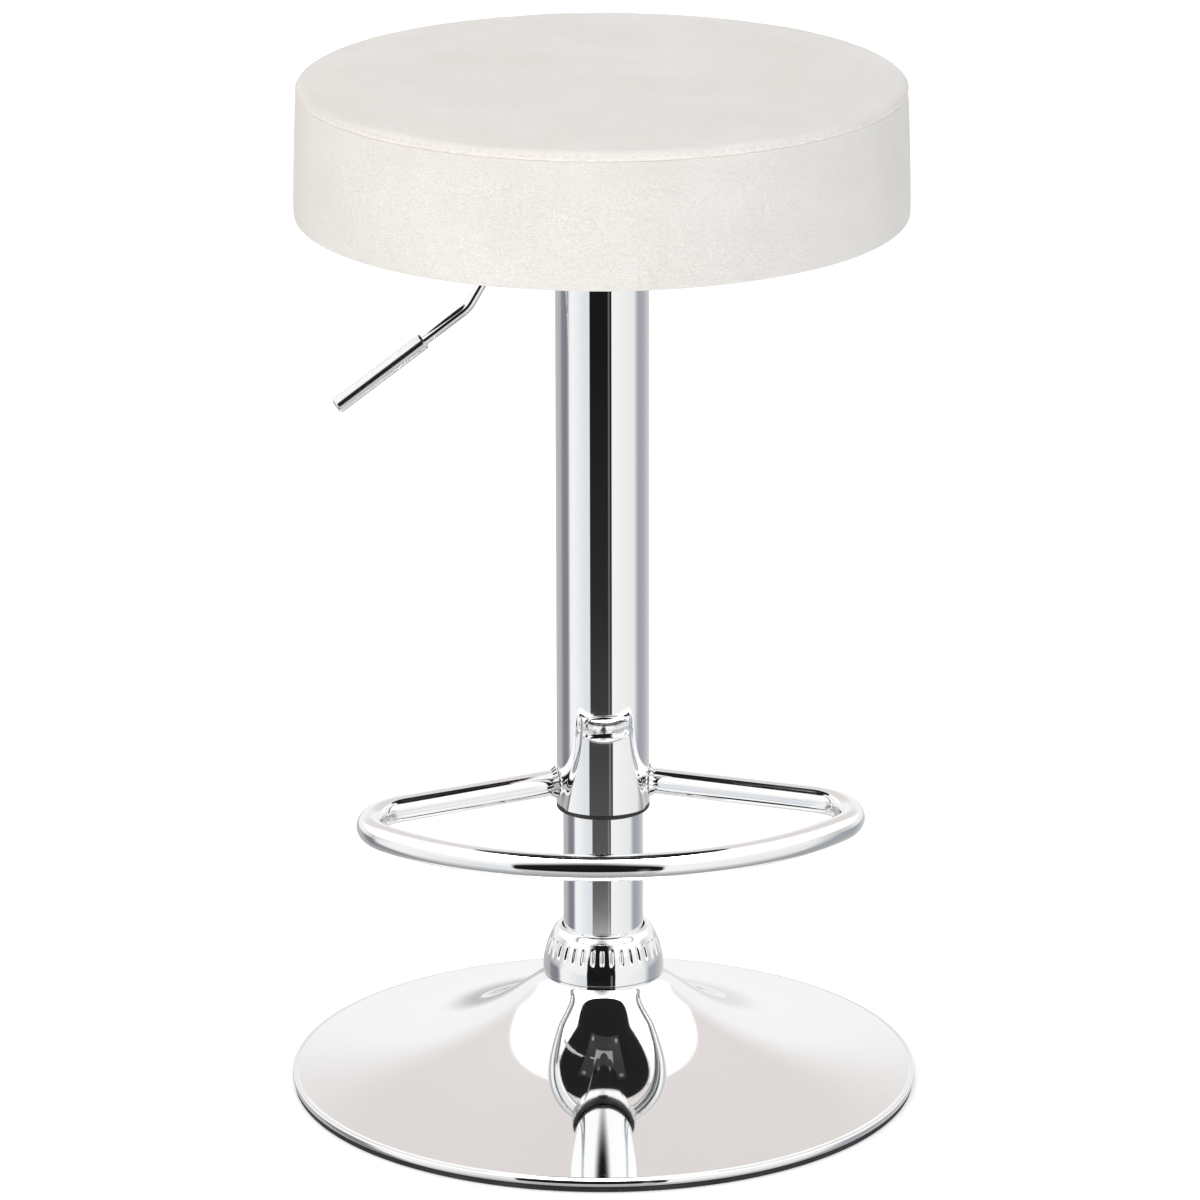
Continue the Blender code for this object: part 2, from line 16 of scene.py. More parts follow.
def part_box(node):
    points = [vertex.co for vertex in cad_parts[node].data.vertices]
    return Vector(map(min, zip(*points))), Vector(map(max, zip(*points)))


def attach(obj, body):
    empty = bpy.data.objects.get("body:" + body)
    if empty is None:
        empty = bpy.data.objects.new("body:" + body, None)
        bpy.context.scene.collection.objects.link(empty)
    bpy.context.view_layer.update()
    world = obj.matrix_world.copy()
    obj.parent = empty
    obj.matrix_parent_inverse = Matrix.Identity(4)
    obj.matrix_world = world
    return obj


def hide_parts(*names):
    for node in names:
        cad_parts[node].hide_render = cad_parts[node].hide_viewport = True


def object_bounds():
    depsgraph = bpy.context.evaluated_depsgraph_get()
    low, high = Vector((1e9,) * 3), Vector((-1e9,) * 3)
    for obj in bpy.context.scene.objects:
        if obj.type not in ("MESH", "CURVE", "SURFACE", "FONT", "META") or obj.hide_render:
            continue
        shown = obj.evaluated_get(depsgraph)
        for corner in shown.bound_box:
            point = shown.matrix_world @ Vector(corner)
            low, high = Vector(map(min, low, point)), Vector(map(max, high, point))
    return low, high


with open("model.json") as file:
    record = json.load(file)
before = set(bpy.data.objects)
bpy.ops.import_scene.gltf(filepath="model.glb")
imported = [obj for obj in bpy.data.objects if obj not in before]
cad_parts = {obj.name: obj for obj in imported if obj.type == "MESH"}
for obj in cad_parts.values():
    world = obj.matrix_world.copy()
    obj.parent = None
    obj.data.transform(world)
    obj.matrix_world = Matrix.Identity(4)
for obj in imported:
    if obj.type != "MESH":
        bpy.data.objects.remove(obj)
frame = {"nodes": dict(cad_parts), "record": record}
CAD_LOW, CAD_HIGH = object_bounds()

# ---------------------------------------------------------------- sizes from the frame
FLOOR_Z = CAD_LOW.z
BASE_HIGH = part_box("base_shell")[1]
COLLAR_LOW, COLLAR_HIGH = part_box("base_collar")
COLUMN_LOW, COLUMN_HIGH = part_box("lower_column")
TUBE_LOW, TUBE_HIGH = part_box("cover_tube")
BUSH_LOW, BUSH_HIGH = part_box("tube_guide_bush")
BRACKET_LOW, BRACKET_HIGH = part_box("footrest_bracket")
LOOP_LOW, LOOP_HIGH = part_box("footrest_loop")
BAND_LOW, BAND_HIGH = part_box("seat_cover_band")
TOP_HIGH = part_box("seat_cover_top")[1]
DUST_LOW, DUST_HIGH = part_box("dust_cover")
HANDLE_LOW, HANDLE_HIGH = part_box("lever_handle")
PIN_LOW, PIN_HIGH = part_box("lever_pivot_pin")

BASE_RADIUS = BASE_HIGH.x
COLUMN_RADIUS = COLUMN_HIGH.x
TUBE_RADIUS = TUBE_HIGH.x
SEAM_Z = BAND_HIGH.z
SEAM_RADIUS = TOP_HIGH.x
SEAT_RADIUS = BAND_HIGH.x
LOOP_TUBE_RADIUS = (LOOP_HIGH.z - LOOP_LOW.z) / 2
LOOP_Z = (LOOP_HIGH.z + LOOP_LOW.z) / 2

ROUND_STEPS = 160                # points round a turned piece, unless it says otherwise
ON_AXIS = 1e-7                   # a radius below this counts as none


# ---------------------------------------------------------------- mesh tools
def mesh_object(name, points, faces, material, sharp_degrees=40):
    mesh = bpy.data.meshes.new(name)
    mesh.from_pydata([tuple(p) for p in points], [], faces)
    mesh.validate()
    bm = bmesh.new()
    bm.from_mesh(mesh)
    bmesh.ops.recalc_face_normals(bm, faces=bm.faces)
    bm.to_mesh(mesh)
    bm.free()
    mesh.shade_smooth()
    mesh.set_sharp_from_angle(angle=math.radians(sharp_degrees))
    mesh.materials.append(material)
    made = bpy.data.objects.new(name, mesh)
    bpy.context.collection.objects.link(made)
    return made


def supported(outline):
    """The outline with points close to the ends of its long runs, which keeps them true."""
    long_run, gap = 0.006, 0.0003
    made = [outline[0]]
    for (r0, z0), (r1, z1) in zip(outline, outline[1:]):
        length = math.dist((r0, z0), (r1, z1))
        if length > long_run:
            near = gap / length
            made += [(r0 + (r1 - r0) * t, z0 + (z1 - z0) * t) for t in (near, 1 - near)]
        made.append((r1, z1))
    return made


def lathe(name, outline, material, steps=ROUND_STEPS, shape=None, sharp_degrees=40):
    """Turn a closed outline of (radius, z) about Z. Radius 0 closes on the axis.

    shape(radius, z, turn), if given, returns the radius and z to use there.
    """
    on_axis = outline[0][0] < ON_AXIS and outline[-1][0] < ON_AXIS
    outline = supported(outline) if on_axis else supported([*outline, outline[0]])[:-1]
    points = []
    rings = []
    for radius, z in outline:
        if radius < ON_AXIS:
            rings.append([len(points)] * steps)
            points.append((0.0, 0.0, z))
            continue
        ring = []
        for k in range(steps):
            turn = math.tau * k / steps
            r, height = shape(radius, z, turn) if shape else (radius, z)
            ring.append(len(points))
            points.append((r * math.cos(turn), r * math.sin(turn), height))
        rings.append(ring)
    pairs = list(zip(rings, rings[1:]))
    if not on_axis:
        pairs.append((rings[-1], rings[0]))
    faces = []
    for low, high in pairs:
        for k in range(steps):
            after = (k + 1) % steps
            corners = [low[k], low[after], high[after], high[k]]
            kept = [c for i, c in enumerate(corners) if c != corners[i - 1]]
            if len(kept) > 2:
                faces.append(kept)
    return mesh_object(name, points, faces, material, sharp_degrees)


def sweep(name, path, radius, sides, material):
    """A round bar along a path, with closed ends."""
    side = Vector((0.0, 0.0, 1.0))
    points = []
    for i, point in enumerate(path):
        along = (path[min(i + 1, len(path) - 1)] - path[max(i - 1, 0)]).normalized()
        if abs(along.dot(side)) > 0.95:
            side = Vector((0.0, 1.0, 0.0))
        side = (side - along * side.dot(along)).normalized()
        across = along.cross(side)
        for k in range(sides):
            turn = math.tau * k / sides
            points.append(point + (side * math.cos(turn) + across * math.sin(turn)) * radius)
    faces = []
    for i in range(len(path) - 1):
        for k in range(sides):
            after = (k + 1) % sides
            faces.append((i * sides + k, i * sides + after,
                          (i + 1) * sides + after, (i + 1) * sides + k))
    faces.append(list(range(sides)))
    faces.append(list(range((len(path) - 1) * sides, len(path) * sides)))
    return mesh_object(name, points, faces, material)


def rounded(corners, radii, steps=8):
    """Points through the corners, with an arc of the given radius at each inner one."""
    corners = [Vector(c).to_3d() for c in corners]
    path = [corners[0]]
    for before, corner, after, radius in zip(corners, corners[1:], corners[2:], radii):
        to_before = (before - corner).normalized()
        to_after = (after - corner).normalized()
        half = to_before.angle(to_after) / 2
        if radius <= 0 or math.pi / 2 - half < 1e-3:
            path.append(corner)
            continue
        middle = corner + (to_before + to_after).normalized() * radius / math.sin(half)
        first = corner + to_before * radius / math.tan(half) - middle
        last = corner + to_after * radius / math.tan(half) - middle
        turns = [first.slerp(last, k / steps).normalized() for k in range(steps + 1)]
        path += [middle + turn * radius for turn in turns]
    return path + [corners[-1]]


def rounded_outline(corners, radii, steps=8):
    """The same for an outline, as pairs."""
    return [(p.x, p.y) for p in rounded(corners, radii, steps)]


def rounded_loop(corners, radii, steps=8):
    """The same for a closed outline; radii has one radius per corner."""
    start = (Vector(corners[-1]) + Vector(corners[0])) / 2
    return rounded_outline([start, *corners, start], radii, steps)[:-1]


def dense_outline(outline, step):
    """The outline with points about a step apart along its runs."""
    made = []
    for (r0, z0), (r1, z1) in zip(outline, outline[1:]):
        parts = max(1, round(math.dist((r0, z0), (r1, z1)) / step))
        made += [(r0 + (r1 - r0) * k / parts, z0 + (z1 - z0) * k / parts) for k in range(parts)]
    return made + [outline[-1]]


def smooth_step(low, high, value):
    """0 where the value is at low, 1 at high, and an S-curve between them."""
    t = min(1.0, max(0.0, (value - low) / (high - low)))
    return t * t * (3 - 2 * t)


def place(made, body, slot, *nodes):
    """The piece rides on a body and stands for CAD nodes, which it hides. The slot is not used."""
    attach(made, body)
    if nodes:
        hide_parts(*nodes)
    return made


# ---------------------------------------------------------------- material tools
class Nodes:
    """A short way to add and link shader nodes in a new material or world."""

    def __init__(self, name, owners=bpy.data.materials):
        self.owner = owners.new(name)
        self.owner.use_nodes = True
        self.tree = self.owner.node_tree

    def add(self, kind, inputs=None, **settings):
        made = self.tree.nodes.new(kind)
        for key, value in settings.items():
            setattr(made, key, value)
        for key, value in (inputs or {}).items():
            self.put(made.inputs[key], value)
        return made

    def put(self, socket, value):
        if isinstance(value, bpy.types.NodeSocket):
            self.tree.links.new(value, socket)
        elif socket.type == "RGBA":
            socket.default_value = (*value, 1.0)
        else:
            socket.default_value = value

    def math(self, operation, a, b=0.0):
        made = self.add("ShaderNodeMath", operation=operation)
        self.put(made.inputs[0], a)
        self.put(made.inputs[1], b)
        return made.outputs[0]

    def squared(self, value):
        return self.math("MULTIPLY", value, value)

    def noise(self, vector, scale, detail=3.0, roughness=0.5):
        made = self.add("ShaderNodeTexNoise", {
            "Vector": vector, "Scale": scale, "Detail": detail, "Roughness": roughness,
        })
        return made.outputs["Fac"]

    def voronoi(self, vector, scale, feature="DISTANCE_TO_EDGE"):
        made = self.add("ShaderNodeTexVoronoi", {"Vector": vector, "Scale": scale},
                        feature=feature)
        return made.outputs["Distance"]

    def ramp(self, factor, stops):
        made = self.add("ShaderNodeValToRGB", {"Fac": factor})
        ends = made.color_ramp.elements
        for element, (place_at, colour) in zip(ends, (stops[0], stops[-1])):
            element.position = place_at
            element.color = (*colour, 1.0)
        for place_at, colour in stops[1:-1]:
            ends.new(place_at).color = (*colour, 1.0)
        return made.outputs["Color"]

    def spread(self, factor, low, high):
        """A 0 to 1 factor stretched to low to high."""
        made = self.add("ShaderNodeMapRange", {
            "Value": factor, "To Min": low, "To Max": high,
        })
        return made.outputs["Result"]

    def between(self, value, low, high, steps="SMOOTHSTEP"):
        """0 where the value is at low, 1 at high."""
        made = self.add("ShaderNodeMapRange", {
            "Value": value, "From Min": low, "From Max": high,
        }, interpolation_type=steps)
        return made.outputs["Result"]

    def mix(self, factor, a, b, blend="MIX"):
        made = self.add("ShaderNodeMix", data_type="RGBA", blend_type=blend)
        for name, given in (("Factor", factor), ("A", a), ("B", b)):
            self.put(made.inputs[name], given)
        return made.outputs["Result"]

    def bump(self, height, strength, distance, normal=None):
        made = self.add("ShaderNodeBump", {
            "Height": height, "Strength": strength, "Distance": distance,
        })
        if normal is not None:
            self.put(made.inputs["Normal"], normal)
        return made.outputs["Normal"]

    def object_point(self):
        return self.add("ShaderNodeTexCoord").outputs["Object"]

    def wrapped_point(self, radius):
        """The object point unrolled about Z: along the turn, height, and radius."""
        point = self.add("ShaderNodeSeparateXYZ", {"Vector": self.object_point()})
        turn = self.math("ARCTAN2", point.outputs["Y"], point.outputs["X"])
        flat = self.math("ADD", self.squared(point.outputs["X"]), self.squared(point.outputs["Y"]))
        made = self.add("ShaderNodeCombineXYZ", {
            "X": self.math("MULTIPLY", turn, radius),
            "Y": point.outputs["Z"],
            "Z": self.math("SQRT", flat),
        })
        return made.outputs[0]

    def scaled(self, vector, scale):
        made = self.add("ShaderNodeMapping", {"Vector": vector, "Scale": scale})
        return made.outputs[0]

    def set(self, **values):
        """Fill in the material's shader, and give the material."""
        names = {"colour": "Base Color", "metallic": "Metallic", "roughness": "Roughness",
                 "normal": "Normal", "coat": "Coat Weight", "sheen": "Sheen Weight",
                 "specular": "Specular IOR Level", "emission": "Emission Color",
                 "emission_strength": "Emission Strength"}
        shader = self.tree.nodes["Principled BSDF"]
        for key, value in values.items():
            self.put(shader.inputs[names[key]], value)
        return self.owner


def grey(value):
    return (value, value, value)


# ---------------------------------------------------------------- materials
def chrome_material():
    """Mirror plating, with a very faint haze that varies over the surface."""
    n = Nodes("polished_chrome")
    point = n.object_point()
    haze = n.noise(point, 38.0, 4.0, 0.6)
    tint = n.ramp(n.noise(point, 9.0), [(0.3, (0.925, 0.93, 0.935)), (0.7, (0.945, 0.945, 0.95))])
    ripple = n.bump(n.noise(point, 22.0, 2.0), 0.02, 0.0004)
    return n.set(colour=tint, metallic=1.0, roughness=n.spread(haze, 0.018, 0.05), normal=ripple)


def brushed_chrome_material():
    """Plating over a turned sleeve, a touch softer than the tubes."""
    n = Nodes("satin_chrome")
    point = n.object_point()
    haze = n.noise(point, 300.0, 3.0)
    ripple = n.bump(n.noise(n.scaled(point, (60.0, 900.0, 60.0)), 8.0), 0.05, 0.0002)
    tint = n.ramp(haze, [(0.3, grey(0.80)), (0.7, grey(0.88))])
    return n.set(colour=tint, metallic=1.0, roughness=n.spread(haze, 0.10, 0.22), normal=ripple)


def leatherette(name, wrapped):
    """Off-white coated cloth with a fine, mostly level grain and small pores."""
    n = Nodes(name)
    point = n.wrapped_point(SEAM_RADIUS) if wrapped else n.object_point()
    grain_run = (640.0, 1500.0, 640.0) if wrapped else (520.0, 900.0, 520.0)
    grain = n.noise(n.scaled(point, grain_run), 1.0, 4.0, 0.62)
    cells = n.voronoi(n.scaled(point, grain_run), 1.4)
    pores = n.math("MINIMUM", n.math("MULTIPLY", cells, 3.0), 0.6)
    height = n.math("ADD", grain, n.math("MULTIPLY", pores, 0.8))
    normal = n.bump(height, 0.85, 0.00050)
    normal = n.bump(n.noise(point, 55.0, 3.0), 0.10, 0.0006, normal)
    patch = n.noise(point, 14.0, 4.0, 0.6)
    colour = n.ramp(patch, [
        (0.30, (0.765, 0.735, 0.700)), (0.55, (0.800, 0.772, 0.742)), (0.75, (0.825, 0.800, 0.775)),
    ])
    fine = n.math("ADD", n.math("MULTIPLY", grain, 0.7), n.math("MULTIPLY", patch, 0.3))
    return n.set(colour=colour, roughness=n.spread(fine, 0.34, 0.50), normal=normal,
                 specular=0.45)


def thread_material():
    n = Nodes("seam_thread")
    point = n.object_point()
    twist = n.noise(n.scaled(point, (900.0, 900.0, 2400.0)), 1.0, 2.0)
    colour = n.ramp(twist, [(0.3, (0.66, 0.58, 0.55)), (0.7, (0.80, 0.74, 0.71))])
    return n.set(colour=colour, roughness=n.spread(twist, 0.55, 0.8),
                 normal=n.bump(twist, 0.5, 0.0002), sheen=0.2)


def seam_material():
    """The fold of the seam, coloured darker than the cover as painted shade in the fold."""
    n = Nodes("seam_fold")
    point = n.wrapped_point(SEAM_RADIUS)
    pinch = n.noise(n.scaled(point, (300.0, 80.0, 80.0)), 1.0, 2.0)
    # painted shade: these colours are darker than the cover's, for the shade in the fold
    colour = n.ramp(pinch, [(0.35, (0.70, 0.64, 0.61)), (0.65, (0.80, 0.75, 0.72))])
    return n.set(colour=colour, roughness=n.spread(pinch, 0.5, 0.7))


def rubber_material():
    n = Nodes("black_rubber")
    point = n.object_point()
    grain = n.noise(point, 900.0, 3.0)
    dust = n.ramp(n.noise(point, 40.0, 4.0), [(0.35, grey(0.012)), (0.75, grey(0.030))])
    return n.set(colour=dust, roughness=n.spread(grain, 0.55, 0.8),
                 normal=n.bump(grain, 0.2, 0.0002))


def plastic_material():
    n = Nodes("black_moulded_plastic")
    point = n.object_point()
    spark = n.voronoi(point, 1400.0, "F1")
    colour = n.ramp(n.noise(point, 60.0), [(0.3, grey(0.010)), (0.7, grey(0.020))])
    return n.set(colour=colour, roughness=n.spread(spark, 0.35, 0.55),
                 normal=n.bump(spark, 0.12, 0.0001))


def zinc_material():
    """Pressed steel with a zinc plating that shows soft spangle and rubbed streaks."""
    n = Nodes("zinc_plated_steel")
    point = n.object_point()
    spangle = n.voronoi(point, 260.0, "F1")
    streak = n.noise(n.scaled(point, (30.0, 900.0, 900.0)), 1.0, 3.0)
    mixed = n.math("ADD", n.math("MULTIPLY", spangle, 0.5), n.math("MULTIPLY", streak, 0.5))
    colour = n.ramp(mixed, [(0.2, (0.42, 0.43, 0.45)), (0.8, (0.62, 0.62, 0.62))])
    return n.set(colour=colour, metallic=1.0, roughness=n.spread(mixed, 0.25, 0.5),
                 normal=n.bump(streak, 0.08, 0.0002))


def painted_material():
    n = Nodes("satin_black_paint")
    point = n.object_point()
    peel = n.noise(point, 500.0, 2.0)
    colour = n.ramp(n.noise(point, 30.0), [(0.3, grey(0.012)), (0.7, grey(0.024))])
    return n.set(colour=colour, roughness=n.spread(peel, 0.28, 0.42),
                 normal=n.bump(peel, 0.12, 0.0002), coat=0.2)


def brass_material():
    n = Nodes("machined_brass")
    point = n.object_point()
    lines = n.noise(n.scaled(point, (40.0, 40.0, 2500.0)), 1.0, 2.0)
    colour = n.ramp(lines, [(0.3, (0.60, 0.42, 0.18)), (0.7, (0.74, 0.56, 0.28))])
    return n.set(colour=colour, metallic=1.0, roughness=n.spread(lines, 0.2, 0.4),
                 normal=n.bump(lines, 0.1, 0.0001))


def lining_material():
    """Black non-woven cloth: pressed dots on a felted ground."""
    n = Nodes("non_woven_lining")
    point = n.object_point()
    dots = n.voronoi(point, 420.0, "F1")
    felt = n.noise(point, 1500.0, 4.0, 0.7)
    height = n.math("ADD", n.math("MULTIPLY", dots, 0.7), n.math("MULTIPLY", felt, 0.5))
    colour = n.ramp(felt, [(0.3, grey(0.006)), (0.7, grey(0.016))])
    return n.set(colour=colour, roughness=n.spread(felt, 0.85, 1.0),
                 normal=n.bump(height, 0.6, 0.0005), specular=0.15)


def plywood_material():
    """Rotary-cut face veneer with thin ply lines on the edge."""
    n = Nodes("birch_plywood")
    point = n.object_point()
    rings = n.noise(n.scaled(point, (9.0, 60.0, 60.0)), 1.6, 5.0, 0.6)
    parts = n.add("ShaderNodeSeparateXYZ", {"Vector": point})
    plies = n.math("PINGPONG", parts.outputs["Z"], 0.0015)
    tone = n.math("ADD", rings, n.math("MULTIPLY", plies, 120.0))
    colour = n.ramp(tone, [(0.35, (0.36, 0.22, 0.11)), (0.7, (0.62, 0.44, 0.26))])
    return n.set(colour=colour, roughness=n.spread(rings, 0.6, 0.8),
                 normal=n.bump(rings, 0.2, 0.0003))


MATERIALS = {
    "chrome": chrome_material(),
    "sleeve": brushed_chrome_material(),
    "leather_top": leatherette("leatherette_top", False),
    "leather_band": leatherette("leatherette_band", True),
    "thread": thread_material(),
    "seam": seam_material(),
    "rubber": rubber_material(),
    "plastic": plastic_material(),
    "zinc": zinc_material(),
    "paint": painted_material(),
    "brass": brass_material(),
    "lining": lining_material(),
    "plywood": plywood_material(),
}

SLOT_FINISH = {
    "chrome": "chrome", "rubber": "rubber", "steel": "zinc", "black_plastic": "plastic",
    "cylinder_paint": "paint", "brass": "brass", "lining": "lining", "plywood": "plywood",
    "leatherette": "leather_top",
}


def finish_cad_nodes():
    """Every CAD node that stays gets the finish of its slot, but the seat plate is black."""
    slots = {part["node"]: part["material_slot"] for part in frame["record"]["subparts"]}
    for name, node in frame["nodes"].items():
        finish = SLOT_FINISH.get(slots.get(name))
        if finish:
            node.data.materials.clear()
            node.data.materials.append(MATERIALS[finish])
    frame["nodes"]["seat_plate"].data.materials[0] = MATERIALS["paint"]


# ---------------------------------------------------------------- base
DISC_EDGE_RADIUS = BASE_RADIUS - 0.0035
DISC_EDGE_Z = 0.0085
NECK_RADIUS = 0.0365
NECK_TOP = BASE_HIGH.z
RIM_SLOPE = math.radians(6.0)
CONE_SLOPE = math.radians(37.2)
CONE_SHARE = 0.87
CONE_POWER = 1.6
NECK_SLOPE = math.radians(56.0)
NECK_POWER = 60.0
SHELL_THICKNESS = 0.0012


def trumpet_points(steps):
    """(radius, z, slope) on the upper face of the base, from the rim in to the neck."""
    fine = 6
    width = DISC_EDGE_RADIUS - NECK_RADIUS
    height = DISC_EDGE_Z
    before = 0.0
    points = []
    for i in range(steps * fine + 1):
        share = 1 - (1 - i / (steps * fine)) ** 2       # 0 at the rim, 1 at the neck
        slope = RIM_SLOPE
        slope += (CONE_SLOPE - RIM_SLOPE) * min(1.0, share / CONE_SHARE) ** CONE_POWER
        slope += (NECK_SLOPE - CONE_SLOPE) * share ** NECK_POWER
        height += math.tan(slope) * width * (share - before)
        before = share
        if i % fine == 0:
            points.append((DISC_EDGE_RADIUS - width * share, height, slope))
    return points


def make_base():
    upper = trumpet_points(90)
    outer = [(NECK_RADIUS, NECK_TOP)] + [(r, z) for r, z, _ in reversed(upper)]
    bead_low, bead_middle, bead_top = 0.0036, 0.0055, 0.0083
    bead = rounded_outline([
        (DISC_EDGE_RADIUS, DISC_EDGE_Z - 0.0004), (DISC_EDGE_RADIUS + 0.0004, bead_top - 0.0006),
        (BASE_RADIUS - 0.0002, bead_top), (BASE_RADIUS, bead_middle),
        (BASE_RADIUS - 0.0004, bead_low), (DISC_EDGE_RADIUS + 0.0006, bead_low),
        (DISC_EDGE_RADIUS + 0.0002, bead_middle + 0.0013),
    ], [0.0003, 0.0014, 0.002, 0.0008, 0.0004], 6)
    inner = [
        (r - SHELL_THICKNESS * math.sin(slope), z - SHELL_THICKNESS * math.cos(slope))
        for r, z, slope in upper[1::3]
    ] + [(NECK_RADIUS - SHELL_THICKNESS, NECK_TOP)]
    disc = lathe("base_trumpet", outer + bead + inner, MATERIALS["chrome"], 256)
    place(disc, "base", "chrome", "base_shell")

    ring_low, ring_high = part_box("floor_ring")
    ring_bore = 0.165
    ring = lathe("floor_rubber_ring", rounded_loop([
        (ring_bore, ring_low.z), (ring_high.x, ring_low.z),
        (ring_high.x, ring_high.z), (ring_bore, ring_high.z),
    ], [0.0003, 0.0011, 0.0004, 0.0003], 5), MATERIALS["rubber"], 200)
    place(ring, "base", "rubber", "floor_ring")


def make_collar():
    """The trim collar: a domed shell with a ring of small pressed slots."""
    slots, steps_per_slot = 36, 20
    slot_low, slot_high = COLLAR_LOW.z + 0.0135, COLLAR_LOW.z + 0.0215
    slot_depth, slot_end = 0.0010, 0.0028
    side_from, side_to = 0.26, 0.04         # a slot's side, in pitches from its middle
    outline = rounded_outline([
        (0.0346, COLLAR_LOW.z), (0.0372, COLLAR_LOW.z), (0.0369, 0.0790), (0.0341, 0.0900),
        (0.0306, 0.0975), (0.0280, 0.1008), (0.0256, COLLAR_HIGH.z),
        (0.0249, 0.0992), (0.0249, 0.0955), (0.0300, 0.0900), (0.0337, 0.0800),
        (0.0346, COLLAR_LOW.z),
    ], [0.0006, 0.030, 0.030, 0.008, 0.004, 0.0006, 0.0008, 0.004, 0.01, 0.01], 9)
    dense = dense_outline(outline, 0.0006)[:-1]
    outer_until = max(range(len(dense)), key=lambda i: dense[i][1])
    pressed = set(dense[:outer_until])

    def press(radius, z, turn):
        if (radius, z) not in pressed:
            return radius, z
        share = (turn / math.tau * slots) % 1.0
        across = smooth_step(side_from, side_to, abs(share - 0.5))
        along = smooth_step(slot_low - slot_end / 2, slot_low + slot_end / 2, z)
        along *= smooth_step(slot_high + slot_end / 2, slot_high - slot_end / 2, z)
        return radius - slot_depth * across * along, z

    collar = lathe("column_collar", dense, MATERIALS["chrome"], slots * steps_per_slot, press, 60)
    place(collar, "base", "chrome", "base_collar")


def tube_outline(bore, radius, low, high, edge=0.0005):
    """A tube's wall in section, with its edges eased."""
    return rounded_loop([(bore, low), (radius, low), (radius, high), (bore, high)],
                        [edge / 2, edge, edge, edge / 2], 5)


def make_tubes():
    wall = 0.0015
    column = lathe("lower_column_tube", tube_outline(
        COLUMN_RADIUS - wall, COLUMN_RADIUS, COLUMN_LOW.z, COLUMN_HIGH.z), MATERIALS["chrome"])
    place(column, "base", "chrome", "lower_column")
    tube = lathe("upper_cover_tube", tube_outline(
        TUBE_RADIUS - wall, TUBE_RADIUS, TUBE_LOW.z, TUBE_HIGH.z), MATERIALS["chrome"])
    place(tube, "seat", "chrome", "cover_tube")
    bush_bore = COLUMN_RADIUS + 0.0006
    sleeve = TUBE_RADIUS - wall - 0.0003
    step_z = TUBE_LOW.z - 0.0003
    bush = lathe("tube_mouth_bush", rounded_loop([
        (bush_bore, BUSH_LOW.z), (BUSH_HIGH.x, BUSH_LOW.z),
        (BUSH_HIGH.x, step_z), (sleeve, step_z),
        (sleeve, BUSH_HIGH.z), (bush_bore, BUSH_HIGH.z),
    ], [0.0006, 0.0012, 0.0003, 0.0001, 0.0002, 0.0002], 5), MATERIALS["plastic"])
    place(bush, "seat", "black_plastic", "tube_guide_bush")


# ---------------------------------------------------------------- footrest
FOOTREST_SWEEP = math.radians(24.3)
FOOTREST_ARM_ORIGIN_Y = 0.013
FOOTREST_FRONT_Y = LOOP_LOW.y + LOOP_TUBE_RADIUS
FOOTREST_FRONT_RADIUS = 0.183
FOOTREST_CORNER_RADIUS = 0.034


def arc(centre, radius, start, end, steps):
    """Points on a level arc about the centre, from one turn to another."""
    turns = [start + (end - start) * k / steps for k in range(steps + 1)]
    return [centre + radius * Vector((math.cos(t), math.sin(t), 0.0)) for t in turns]


def footrest_half():
    """The centre line of one half, from the column's side out to the front middle.

    A straight arm, a corner that touches both the arm and the front, and the front's arc.
    """
    along = Vector((math.cos(FOOTREST_SWEEP), -math.sin(FOOTREST_SWEEP), 0.0))
    forward = Vector((-math.sin(FOOTREST_SWEEP), -math.cos(FOOTREST_SWEEP), 0.0))
    start = Vector((0.0, FOOTREST_ARM_ORIGIN_Y, LOOP_Z))
    hub = Vector((0.0, FOOTREST_FRONT_Y + FOOTREST_FRONT_RADIUS, LOOP_Z))
    offset = start + forward * FOOTREST_CORNER_RADIUS - hub
    reach = FOOTREST_FRONT_RADIUS - FOOTREST_CORNER_RADIUS
    half_b = offset.dot(along)
    length = -half_b + math.sqrt(half_b ** 2 - offset.length_squared + reach ** 2)
    corner = start + along * length + forward * FOOTREST_CORNER_RADIUS
    touch = (corner - hub).normalized()
    turn_in = math.atan2(-forward.y, -forward.x)
    turn_out = math.atan2(touch.y, touch.x)
    inside = 0.0285
    arm = [start + along * (inside + (length - inside) * k / 24) for k in range(24)]
    bend = arc(corner, FOOTREST_CORNER_RADIUS, turn_in, turn_out, 30)
    front = arc(hub, FOOTREST_FRONT_RADIUS, turn_out, -math.pi / 2, 40)
    return arm + bend + front[1:]


def make_footrest():
    right = footrest_half()
    left = [Vector((-p.x, p.y, p.z)) for p in reversed(right[:-1])]
    loop = sweep("footrest_d_loop", right + left, LOOP_TUBE_RADIUS, 40, MATERIALS["chrome"])
    place(loop, "seat", "chrome", "footrest_loop")
    for side, sign in (("right", 1), ("left", -1)):
        make_weld(side, sign)


